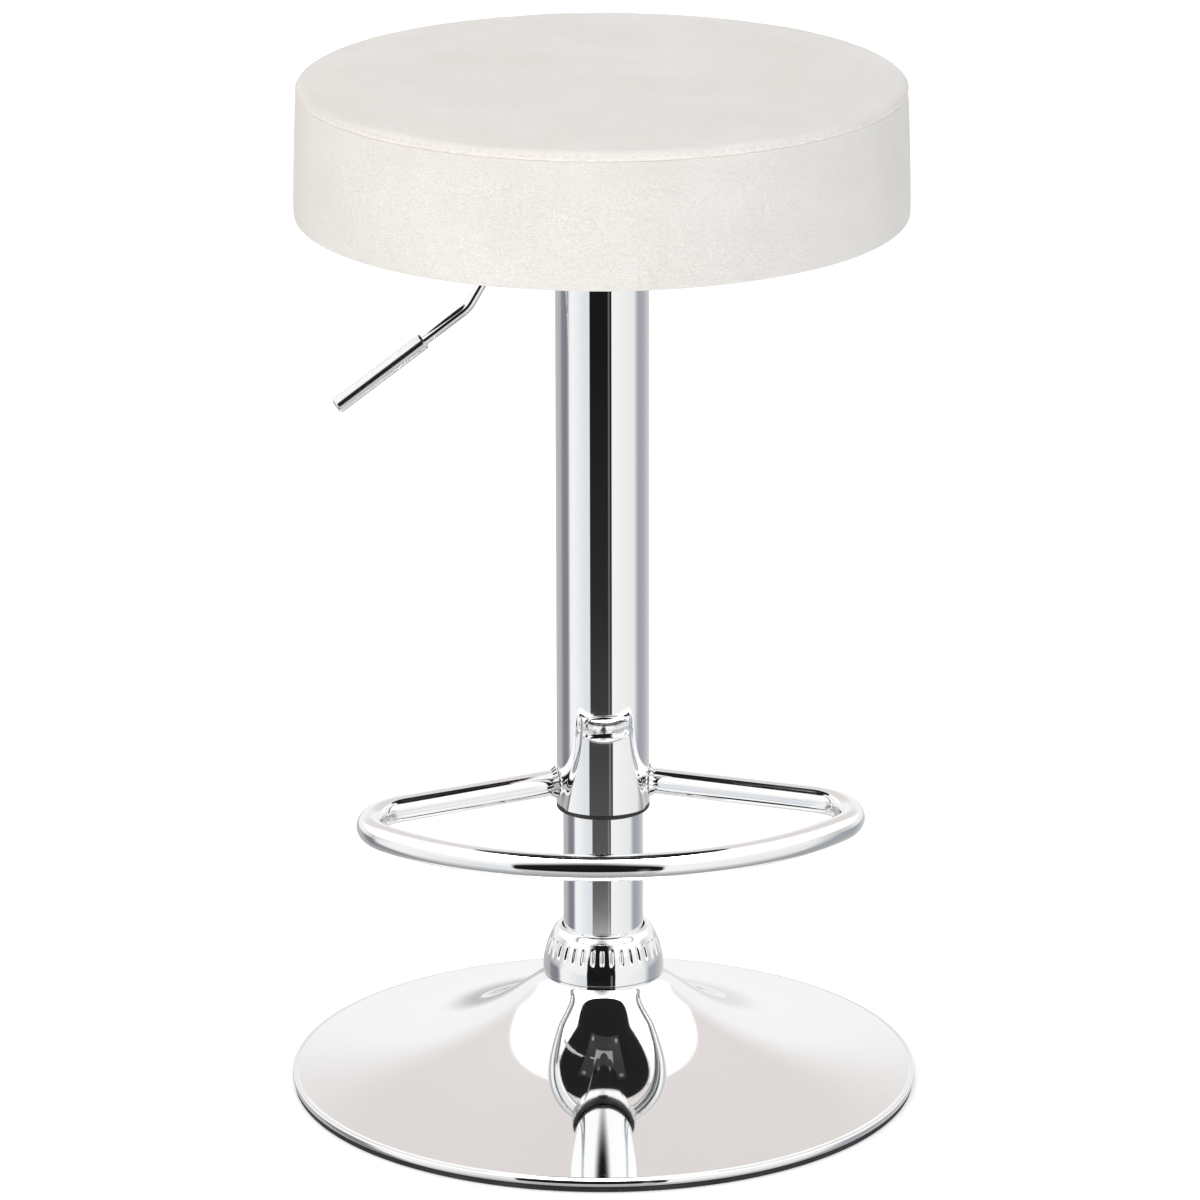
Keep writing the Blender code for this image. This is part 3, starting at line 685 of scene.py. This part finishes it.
def make_weld(side, sign):
    """The weld fillet where an arm meets the column, with the ripples of the weld pool."""
    along = Vector((sign * math.cos(FOOTREST_SWEEP), -math.sin(FOOTREST_SWEEP), 0.0))
    across = Vector((-along.y, along.x, 0.0))
    start = Vector((0.0, FOOTREST_ARM_ORIGIN_Y, LOOP_Z))
    upright = Vector((0.0, 0.0, 1.0))
    wall = 0.0296                # radius of the wall that the fillet lies on
    foot, climb = 0.0020, 0.0030
    rounds, ripples, rows = 240, 19, 12
    points, faces = [], []
    for k in range(rounds):
        turn = math.tau * k / rounds
        out = across * math.cos(turn) + upright * math.sin(turn)
        wave = 1.0 + 0.28 * math.sin(turn * ripples) + 0.15 * math.sin(turn * 5 + sign)
        for j in range(rows + 1):
            t = j / rows
            spread = LOOP_TUBE_RADIUS + foot * wave * (1 - t) ** 2 - 0.0002
            lift = climb * wave * t ** 2
            edge = start + out * spread
            # distance along the arm at which this line of the fillet meets the wall
            flat = Vector((edge.x, edge.y, 0.0))
            half_b = flat.dot(along)
            reach = -half_b + math.sqrt(max(0.0, half_b ** 2 - flat.length_squared + wall ** 2))
            points.append(edge + along * (reach - 0.0004 + lift))
    for k in range(rounds):
        after = (k + 1) % rounds
        for j in range(rows):
            faces.append((k * (rows + 1) + j, after * (rows + 1) + j,
                          after * (rows + 1) + j + 1, k * (rows + 1) + j + 1))
        # the back of the fillet, against the arm and the wall
        faces.append((k * (rows + 1), after * (rows + 1),
                      after * (rows + 1) + rows, k * (rows + 1) + rows))
    weld = mesh_object(f"footrest_weld_{side}", points, faces, MATERIALS["chrome"], 70)
    place(weld, "seat", "chrome")


BRACKET_TOP = BRACKET_HIGH.z - 0.0075          # the photograph's top edge is lower than the CAD's


def bracket_half_width(z):
    """Half the width of the raised tongue, in metres along the front, at a height."""
    rise = (z - BRACKET_LOW.z) / (BRACKET_TOP - BRACKET_LOW.z)
    return 0.0130 + 0.0130 * (1 - smooth_step(-0.35, 1.10, rise)) ** 1.5


def make_bracket():
    """A pressed saddle: a tongue stands proud of the tube and flows into it at the sides."""
    flat_rows, lip_rows, columns = 228, 12, 180
    bottom, top = BRACKET_LOW.z, BRACKET_TOP
    inner = TUBE_RADIUS + 0.0002
    proud = 0.0024
    cap = 0.0118                 # height of the stepped-back band along the top
    lip = 0.0018                 # height of the rounded top edge
    step_back = 0.26             # how far the band steps back, as a share of proud
    crown = 0.0022               # how much higher the top edge is at its middle

    def outer_radius(turn, z):
        across = abs(turn) * TUBE_RADIUS
        half = bracket_half_width(z)
        fillet = 0.0030 + 0.0060 * smooth_step(top - 0.015, bottom + 0.010, z)
        side = smooth_step(half + fillet, half, across) ** 1.3
        back = smooth_step(top - cap - 0.0012, top - cap + 0.0012, z)
        # the band keeps two small ears at its ends, where the fold runs out
        back *= smooth_step(half - 0.0008, half - 0.0032, across)
        over = min(1.0, max(0.0, (z - top + lip) / lip))
        end = math.sqrt(max(0.0, 1.0 - over ** 2))
        return inner + 0.0001 + proud * side * (1.0 - step_back * back) * end

    def half_turn(z):
        """How far the saddle reaches round the tube: half of it at the foot."""
        wide = math.radians(92)
        narrow = (bracket_half_width(z) + 0.0040) / TUBE_RADIUS
        return narrow + (wide - narrow) * (1 - smooth_step(bottom + 0.006, bottom + 0.036, z))

    heights = [bottom + (top - lip - bottom) * i / flat_rows for i in range(flat_rows)]
    heights += [top - lip + lip * math.sin(math.pi / 2 * i / lip_rows) for i in range(lip_rows + 1)]
    points, faces = [], []
    for layer in range(2):
        for z in heights:
            limit = half_turn(z)
            for k in range(columns + 1):
                turn = limit * (2 * k / columns - 1)
                radius = inner if layer == 0 else outer_radius(turn, z)
                angle = turn - math.pi / 2
                middle = 1.0 - min(1.0, abs(turn) * TUBE_RADIUS / bracket_half_width(z)) ** 2
                height = z + crown * middle * smooth_step(top - 0.030, top, z)
                points.append((radius * math.cos(angle), radius * math.sin(angle), height))
    width = columns + 1
    sheet = width * len(heights)
    last = len(heights) - 1
    for layer in range(2):
        for i in range(last):
            for k in range(columns):
                a = layer * sheet + i * width + k
                faces.append((a, a + 1, a + width + 1, a + width))
    for k in range(columns):
        for i in (0, last):
            a = i * width + k
            faces.append((a, a + 1, a + 1 + sheet, a + sheet))
    for i in range(last):
        for k in (0, columns):
            a = i * width + k
            faces.append((a, a + width, a + width + sheet, a + sheet))
    bracket = mesh_object("footrest_saddle", points, faces, MATERIALS["chrome"], 60)
    place(bracket, "seat", "chrome", "footrest_bracket")


# ---------------------------------------------------------------- lever
LEVER_RADIUS = 0.00325
PIVOT = (PIN_LOW + PIN_HIGH) / 2
HANDLE_RADIUS = (HANDLE_HIGH.y - HANDLE_LOW.y) / 2


def make_lever():
    """A bent bar on its pivot boss, with a thick sleeve as the handle."""
    slope = Vector((HANDLE_LOW.x - HANDLE_HIGH.x, 0.0, HANDLE_LOW.z - HANDLE_HIGH.z)).normalized()
    normal = Vector((-slope.z, 0.0, slope.x)) * HANDLE_RADIUS
    inset = Vector((abs(normal.x), 0.0, abs(normal.z)))
    start = Vector((HANDLE_HIGH.x - inset.x, 0.0, HANDLE_HIGH.z - inset.z))
    end = Vector((HANDLE_LOW.x + inset.x, 0.0, HANDLE_LOW.z + inset.z))
    along = (end - start).normalized()
    first = Vector((-0.0542, 0.0, PIVOT.z))
    # the middle run is at 60 degrees, and the last run is in line with the handle
    gap = start - first
    down = Vector((-1.0, 0.0, -math.tan(math.radians(60)))).normalized()
    reach = (gap.x * along.z - gap.z * along.x) / (down.x * along.z - down.z * along.x)
    corner = first + down * reach
    inner_end, grip = 0.0055, 0.045
    path = rounded([
        Vector((inner_end, 0.0, PIVOT.z)), first, corner, start + along * grip,
    ], (0.014, 0.020), 16)
    spaced = []
    for a, b in zip(path, path[1:]):
        parts = max(1, round((b - a).length / 0.002))
        spaced += [a.lerp(b, k / parts) for k in range(parts)]
    spaced.append(path[-1])
    rod = sweep("lever_bar", spaced, LEVER_RADIUS, 28, MATERIALS["chrome"])
    place(rod, "lever", "chrome", "lever_rod")
    bore, outside, half = 0.0024, 0.0055, 0.0055
    boss = lathe("lever_boss", rounded_loop([
        (bore, -half), (outside, -half), (outside, half), (bore, half),
    ], [0.0003, 0.0008, 0.0008, 0.0003], 4), MATERIALS["zinc"], 48)
    boss.matrix_world = Matrix.Translation(PIVOT) @ Matrix.Rotation(math.radians(90), 4, "X")
    place(boss, "lever", "steel")

    length = (end - start).length
    mouth, bore_depth = LEVER_RADIUS + 0.0003, 0.052
    sleeve = lathe("lever_sleeve", rounded_outline([
        (0.0, length), (HANDLE_RADIUS, length), (HANDLE_RADIUS, 0.0),
        (mouth, 0.0), (mouth, bore_depth), (0.0, bore_depth),
    ], [0.0022, 0.0010, 0.0003, 0.0005]), MATERIALS["sleeve"], 64)
    turn = Vector((0.0, 0.0, 1.0)).rotation_difference(along).to_matrix().to_4x4()
    sleeve.matrix_world = Matrix.Translation(start) @ turn
    place(sleeve, "lever", "chrome", "lever_handle")


# ---------------------------------------------------------------- seat
COVER = 0.0018                   # thickness of the cover with its backing
SEAM_DEPTH = 0.0011
HEM_RADIUS = 0.176               # where the cover ends under the board
SEAT_STEPS = 352
SWELL_LIMIT = 0.0022
SIMULATED_FRAMES = 20


def top_outline():
    """The top panel from the seam fold up over the shoulder to the middle."""
    crown = TOP_HIGH.z
    return rounded_outline([
        (SEAM_RADIUS - SEAM_DEPTH, SEAM_Z + 0.0001), (SEAM_RADIUS - 0.0001, SEAM_Z + 0.0009),
        (SEAM_RADIUS - 0.0012, SEAM_Z + 0.0048), (SEAM_RADIUS - 0.0110, crown - 0.0036),
        (0.1400, crown - 0.0018), (0.0700, crown - 0.0006), (0.0, crown),
    ], [0.0006, 0.006, 0.012, 0.2, 0.5], 12)


def band_outline():
    """The side band from the seam fold down to the hem under the board."""
    low = BAND_LOW.z
    middle = (low + SEAM_Z) / 2
    return rounded_outline([
        (SEAM_RADIUS - SEAM_DEPTH, SEAM_Z - 0.0001), (SEAM_RADIUS - 0.0001, SEAM_Z - 0.0011),
        (SEAM_RADIUS + 0.0006, SEAM_Z - 0.012), (SEAM_RADIUS + 0.0014, middle),
        (SEAT_RADIUS, low + 0.010), (SEAT_RADIUS - 0.0002, low),
        (HEM_RADIUS, low),
    ], [0.0006, 0.05, 0.3, 0.05, 0.0028], 10)


def simulate_padding():
    """Inflate a closed drum of the seat's shape. Gives (KD tree of rest points, moves)."""
    step = 0.006
    drum = lathe("padding_drum", [
        (0.0, BAND_LOW.z), *dense_outline(band_outline()[::-1], step),
        *dense_outline(top_outline(), step),
    ], MATERIALS["leather_top"], 96)
    remesh = drum.modifiers.new("remesh", "REMESH")
    remesh.mode = "VOXEL"
    remesh.voxel_size = 0.0055
    graph = bpy.context.evaluated_depsgraph_get()
    mesh = bpy.data.meshes.new_from_object(drum.evaluated_get(graph))
    bpy.data.objects.remove(drum)
    pad = bpy.data.objects.new("padding_sim", mesh)
    bpy.context.collection.objects.link(pad)
    rest = [v.co.copy() for v in mesh.vertices]
    held = pad.vertex_groups.new(name="held")
    for i, point in enumerate(rest):
        near_base = smooth_step(BAND_LOW.z + 0.016, BAND_LOW.z + 0.003, point.z)
        near_seam = 0.85 * smooth_step(0.007, 0.002, abs(point.z - SEAM_Z))
        if math.hypot(point.x, point.y) < SEAM_RADIUS - 0.012:
            near_seam = 0.0
        weight = max(near_base, near_seam)
        if weight > 0.01:
            held.add([i], weight, "REPLACE")
    cloth = pad.modifiers.new("cloth", "CLOTH")
    cloth.settings.quality = 5
    cloth.settings.vertex_group_mass = "held"
    cloth.settings.tension_stiffness = 18
    cloth.settings.compression_stiffness = 18
    cloth.settings.bending_stiffness = 1.5
    cloth.settings.use_pressure = True
    cloth.settings.uniform_pressure_force = 4.0
    cloth.settings.effector_weights.gravity = 0.0
    cloth.collision_settings.use_collision = False
    scene = bpy.context.scene
    for frame_number in range(1, SIMULATED_FRAMES + 1):
        scene.frame_set(frame_number)
    graph = bpy.context.evaluated_depsgraph_get()
    blown = pad.evaluated_get(graph).to_mesh()
    moves = [v.co - start for v, start in zip(blown.vertices, rest)]
    scene.frame_set(1)
    bpy.data.objects.remove(pad)
    tree = KDTree(len(rest))
    for i, point in enumerate(rest):
        tree.insert(point, i)
    tree.balance()
    return tree, moves


def swell(made, tree, moves):
    """Move a seat piece as the padding under it moved, within the limit."""
    for vertex in made.data.vertices:
        near = tree.find_n(vertex.co, 8)
        total, move = 0.0, Vector()
        for _, index, distance in near:
            weight = 1.0 / (distance + 0.003) ** 2
            total += weight
            move += moves[index] * weight
        move /= total
        if move.length > SWELL_LIMIT:
            move *= SWELL_LIMIT / move.length
        vertex.co += move


def pucker(radius, z, turn):
    """Small gathers beside the seam, and the slow unevenness of a stretched cover."""
    beside = math.exp(-abs(z - SEAM_Z) / 0.0045)
    around = Vector((math.cos(turn), math.sin(turn), 0.0))
    gather = noise.noise(around * 34.0 + Vector((0, 0, z * 60.0)))
    slow = noise.noise(around * 3.0 + Vector((5.0, 0.0, z * 12.0)))
    edge = smooth_step(0.12, 0.17, radius)
    low = smooth_step(HEM_RADIUS, HEM_RADIUS + 0.006, radius)
    return radius + (0.00035 * gather * beside + 0.0004 * slow) * edge * low, z


def make_seat():
    """The sewn cover in two panels over its padding, with the seam and its stitches."""
    step = 0.0016
    outer_top = dense_outline(top_outline(), step)
    inner_top = [(max(0.0, r - COVER * 1.2), z - COVER) for r, z in outer_top[4:]]
    top = lathe("seat_top_panel", outer_top[::-1] + inner_top,
                MATERIALS["leather_top"], SEAT_STEPS, pucker, 75)
    hem_z = BAND_LOW.z + 0.0014
    inner_band = [
        (HEM_RADIUS, hem_z), (SEAT_RADIUS - 0.0024, hem_z),
        (SEAM_RADIUS - 0.0022, SEAM_Z - 0.010), (SEAM_RADIUS - 0.0034, SEAM_Z - 0.0004),
    ]
    band = lathe("seat_side_band", dense_outline(band_outline(), step) + inner_band,
                 MATERIALS["leather_band"], SEAT_STEPS, pucker, 75)
    tree, moves = simulate_padding()
    for piece in (top, band):
        swell(piece, tree, moves)
    place(top, "seat", "leatherette", "seat_cover_top", "seat_foam")
    place(band, "seat", "leatherette", "seat_cover_band")
    make_seam()
    make_stitches()


def make_seam():
    """The turned-in seam allowance that shows as a fine line between the panels."""
    # the fold's material is coloured darker than the cover, as painted shade in the fold
    fold = lathe("seat_seam_fold", [
        (SEAM_RADIUS - 0.0009 + 0.0006 * math.cos(t), SEAM_Z + 0.0007 * math.sin(t))
        for t in (math.tau * k / 12 for k in range(12))
    ], MATERIALS["seam"], SEAT_STEPS)
    place(fold, "seat", "leatherette")


def make_stitches():
    """Lock stitches just above the seam, each dipping into the cover at its ends."""
    pitch = 0.0065
    count = round(math.tau * SEAM_RADIUS / pitch)
    sides, rings = 8, 7
    thread = 0.00030
    points, faces = [], []
    for k in range(count):
        middle = math.tau * k / count
        half = 0.36 * math.tau / count
        first = len(points)
        for i in range(rings):
            share = 2 * i / (rings - 1) - 1
            turn = middle + half * share
            sink = 0.00045 * abs(share) ** 3
            radius = SEAM_RADIUS - 0.00005 - sink
            height = SEAM_Z + 0.0017 + 0.0001 * share
            size = thread * (1.0 - 0.55 * abs(share) ** 4)
            out = Vector((math.cos(turn), math.sin(turn), 0.0))
            for j in range(sides):
                around = math.tau * j / sides
                points.append(out * (radius + size * math.cos(around))
                              + Vector((0.0, 0.0, height + size * math.sin(around))))
        for i in range(rings - 1):
            for j in range(sides):
                a = first + i * sides + j
                b = first + i * sides + (j + 1) % sides
                faces.append((a, b, b + sides, a + sides))
        faces.append(list(range(first, first + sides)))
        faces.append(list(range(first + (rings - 1) * sides, first + rings * sides)))
    stitches = mesh_object("seat_stitches", points, faces, MATERIALS["thread"])
    place(stitches, "seat", "leatherette")


def make_staples():
    """Staples that hold the cover's hem to the board."""
    count = 40
    radius = HEM_RADIUS + 0.0028
    box_faces = ((0, 1, 3, 2), (4, 6, 7, 5), (0, 4, 5, 1), (2, 3, 7, 6), (0, 2, 6, 4), (1, 5, 7, 3))
    points, faces = [], []
    for k in range(count):
        turn = math.tau * (k + 0.3 * noise.noise(Vector((k * 1.7, 0.0, 0.0)))) / count
        out = Vector((math.cos(turn), math.sin(turn), 0.0))
        across = Vector((-out.y, out.x, 0.0))
        centre = out * radius + Vector((0.0, 0.0, BAND_LOW.z - 0.0001))
        first = len(points)
        for x in (-0.0055, 0.0055):
            for y in (-0.0004, 0.0004):
                for z in (-0.0004, 0.0006):
                    points.append(centre + across * x + out * y + Vector((0, 0, z)))
        faces += [[first + q for q in quad] for quad in box_faces]
    staples = mesh_object("hem_staples", points, faces, MATERIALS["zinc"], 30)
    place(staples, "seat", "steel")


def make_lining():
    """The black non-woven cover under the board, drawn tight by the hem's staples."""
    radius = DUST_HIGH.x
    puckers = 40
    thickness = 0.0007
    rings = 30
    low = [(radius * k / rings, DUST_LOW.z) for k in range(rings + 1)]
    high = [(r, DUST_LOW.z + thickness) for r, _ in reversed(low)]

    def draw_in(r, z, turn):
        near_edge = smooth_step(radius - 0.030, radius, r)
        gather = 0.5 + 0.5 * math.cos(puckers * turn)
        slack = noise.noise(Vector((r * math.cos(turn), r * math.sin(turn), 0.0)) * 22.0)
        return r, z + 0.0005 * gather * near_edge + 0.0002 * slack * (1 - near_edge)

    lining = lathe("seat_lining", low + high, MATERIALS["lining"], 240, draw_in, 60)
    place(lining, "seat", "lining", "dust_cover")


# ---------------------------------------------------------------- studio
CAMERA_BEARING = math.radians(3.7)             # the camera stands this far to the left
WARM_WHITE = (1.0, 1.0, 0.965)                 # the photograph's backdrop


def turns(stops):
    """Stops given in degrees round from the front, as ramp positions."""
    return [((degrees + 180) / 360, value) for degrees, value in stops]


def studio_walls(n, share, z):
    """What stands round the stool, in three bands: skirt, level and upper walls."""
    level = n.ramp(share, turns([
        (-180, grey(0.56)), (-149, grey(0.51)), (-130, grey(0.45)), (-123, grey(0.40)),
        (-118, (0.25, 0.25, 0.27)), (-104, (0.22, 0.22, 0.26)), (-97, (0.24, 0.24, 0.27)),
        (-92, grey(0.50)), (-88, grey(0.92)), (-78, grey(0.96)), (-42, (0.78, 0.80, 0.83)),
        (-30, (0.78, 0.80, 0.83)), (22, (0.96, 0.955, 0.93)), (84, grey(0.85)),
        (91, grey(0.60)), (98, (0.36, 0.38, 0.43)), (115, (0.38, 0.40, 0.43)), (137, grey(0.53)),
        (180, grey(0.82)),
    ]))
    upper = n.ramp(share, turns([
        (-180, (0.77, 0.73, 0.71)), (-130, (0.82, 0.78, 0.76)), (-90, (0.88, 0.83, 0.81)),
        (-60, grey(0.90)), (-36, grey(0.95)), (36, grey(0.95)), (60, grey(0.85)),
        (90, (0.80, 0.76, 0.75)), (130, (0.79, 0.75, 0.73)), (180, (0.77, 0.73, 0.71)),
    ]))
    skirt = n.ramp(share, turns([
        (-180, grey(0.96)), (-120, grey(0.93)), (-95, grey(0.62)), (-80, grey(0.96)),
        (-36, grey(0.95)), (36, grey(0.95)), (80, grey(0.92)), (95, grey(0.62)),
        (120, grey(0.93)), (180, grey(0.96)),
    ]))
    low_bands = n.mix(n.between(z, -0.16, 0.02), level, skirt)
    return n.mix(n.between(z, 0.24, 0.50), low_bands, upper)


def ceiling_part(n, side, back, z):
    """1 on the ceiling, which ends a little way behind the stool, and 0 off it."""
    edge = n.math("ADD", n.math("MULTIPLY", n.squared(z), 0.40),
                  n.math("MULTIPLY", n.squared(side), 0.75))
    edge = n.math("SUBTRACT", edge, n.math("MULTIPLY", back, z))
    return n.math("MULTIPLY", n.between(edge, -0.012, 0.012), n.between(z, 0.22, 0.34))


def flag_part(n, turn, z):
    """1 on the dark flag in front, which is tall in the middle and soft at its top."""
    centre, half_width = math.radians(-4.5), math.radians(27.0)
    foot, height = 0.12, 0.72
    wide = n.math("DIVIDE", n.math("SUBTRACT", turn, centre), half_width)
    tall = n.math("MAXIMUM", n.math("DIVIDE", n.math("SUBTRACT", z, foot), height), 0.0)
    away = n.math("SQRT", n.math("ADD", n.squared(wide), n.squared(tall)))
    softness = n.math("MULTIPLY", n.between(z, 0.05, 0.60), 0.30)
    return n.between(away, n.math("ADD", 1.03, softness), n.math("SUBTRACT", 0.97, softness))


def flag_colour(n, share, z):
    """The flag is lighter towards the floor, and a thin slit in it shows as a grey line."""
    low, high = -0.36, -0.26
    depth = n.between(z, low, high, "LINEAR")
    dark = n.ramp(depth, [((at - low) / (high - low), grey(value)) for at, value in (
        (-0.347, 0.60), (-0.341, 0.12), (-0.321, 0.058), (-0.312, 0.042), (-0.300, 0.024),
        (-0.266, 0.010))])
    slit = n.ramp(share, turns([
        (13.5, grey(0.0)), (14.5, grey(0.15)), (16.5, grey(0.15)), (17.5, grey(0.0)),
    ]))
    slit_seen = n.mix(n.between(z, 0.0, -0.1), grey(0.0), slit)
    return n.mix(1.0, dark, slit_seen, "ADD")


def make_world():
    """A white studio. Mirror surfaces see its walls, ceiling, flag and overhead light."""
    n = Nodes("studio", bpy.data.worlds)
    bpy.context.scene.world = n.owner
    n.tree.nodes.clear()
    direction = n.add("ShaderNodeTexCoord").outputs["Generated"]
    x, y, z = n.add("ShaderNodeSeparateXYZ", {"Vector": direction}).outputs
    ahead, aside = math.cos(CAMERA_BEARING), math.sin(CAMERA_BEARING)
    side = n.math("ADD", n.math("MULTIPLY", x, ahead), n.math("MULTIPLY", y, -aside))
    back = n.math("ADD", n.math("MULTIPLY", x, aside), n.math("MULTIPLY", y, ahead))
    turn = n.math("ARCTAN2", side, n.math("MULTIPLY", back, -1.0))
    share = n.math("ADD", n.math("DIVIDE", turn, math.tau), 0.5)

    seen = n.mix(ceiling_part(n, side, back, z), studio_walls(n, share, z), grey(1.12))
    seen = n.mix(flag_part(n, turn, z), seen, flag_colour(n, share, z))
    seen = n.mix(n.between(z, -0.42, -0.95), seen, grey(0.36))
    overhead = n.between(z, 0.93, 0.975)
    seen = n.mix(overhead, seen, grey(14.0))
    # the soft light that falls on everything is a little cooler and darker on the right
    soft = n.mix(n.between(x, -0.6, 0.9), (1.09, 1.06, 1.02), (0.84, 0.89, 0.94))

    path = n.add("ShaderNodeLightPath")
    mirror_or_soft = n.mix(path.outputs["Is Glossy Ray"], soft, seen)
    whole = n.mix(path.outputs["Is Camera Ray"], mirror_or_soft, WARM_WHITE)
    background = n.add("ShaderNodeBackground", {"Color": whole})
    n.add("ShaderNodeOutputWorld", {"Surface": background.outputs[0]})


def make_floor():
    """A pale floor that mirrors look past, so that they see the studio round it."""
    n = Nodes("pale_floor")
    colour = n.ramp(n.noise(n.object_point(), 3.0), [(0.3, grey(0.93)), (0.7, grey(0.95))])
    n.set(colour=colour, roughness=0.9, specular=0.0, emission=WARM_WHITE, emission_strength=0.30)
    half_size = 6.0
    bm = bmesh.new()
    bmesh.ops.create_grid(bm, x_segments=8, y_segments=8, size=half_size)
    mesh = bpy.data.meshes.new("studio_floor")
    bm.to_mesh(mesh)
    bm.free()
    floor = bpy.data.objects.new("studio_floor", mesh)
    bpy.context.collection.objects.link(floor)
    floor.location.z = FLOOR_Z - 0.0002
    mesh.materials.append(n.owner)
    floor.visible_glossy = False


def make_lights():
    """One soft key in front, a little to the left, which lights the side band."""
    data = bpy.data.lights.new("soft_key", "AREA")
    data.shape = "DISK"
    data.size = 1.6
    data.energy = 18.0
    key = bpy.data.objects.new("soft_key", data)
    bpy.context.collection.objects.link(key)
    key.location = (-0.7, -2.6, 0.9)
    key.rotation_mode = "QUATERNION"
    aim = Vector((0, 0, 0.5))
    key.rotation_quaternion = (key.location - aim).to_track_quat("Z", "Y")
    key.visible_glossy = False
    key.visible_camera = False


def make_camera():
    """The camera stands a little to the left of the front, above seat height."""
    distance, height = 4.0937, 1.5950
    pitch = math.radians(17.44)
    roll = math.radians(0.11)
    data = bpy.data.cameras.new("studio_camera")
    data.sensor_width = 36.0
    data.lens = 212.1
    data.shift_x = -0.0023
    camera = bpy.data.objects.new("studio_camera", data)
    bpy.context.collection.objects.link(camera)
    place_at = Vector((-distance * math.sin(CAMERA_BEARING),
                       -distance * math.cos(CAMERA_BEARING), height))
    turn = Matrix.Rotation(-CAMERA_BEARING, 4, "Z") @ Matrix.Rotation(math.radians(90) - pitch, 4, "X")
    camera.matrix_world = Matrix.Translation(place_at) @ turn @ Matrix.Rotation(-roll, 4, "Z")
    bpy.context.scene.camera = camera


# ---------------------------------------------------------------- the scene
make_camera()
make_world()
make_floor()
make_lights()
finish_cad_nodes()
make_base()
make_collar()
make_tubes()
make_footrest()
make_bracket()
make_lever()
make_seat()
make_staples()
make_lining()

bpy.context.scene.view_settings.view_transform = "Standard"
bpy.context.view_layer.update()
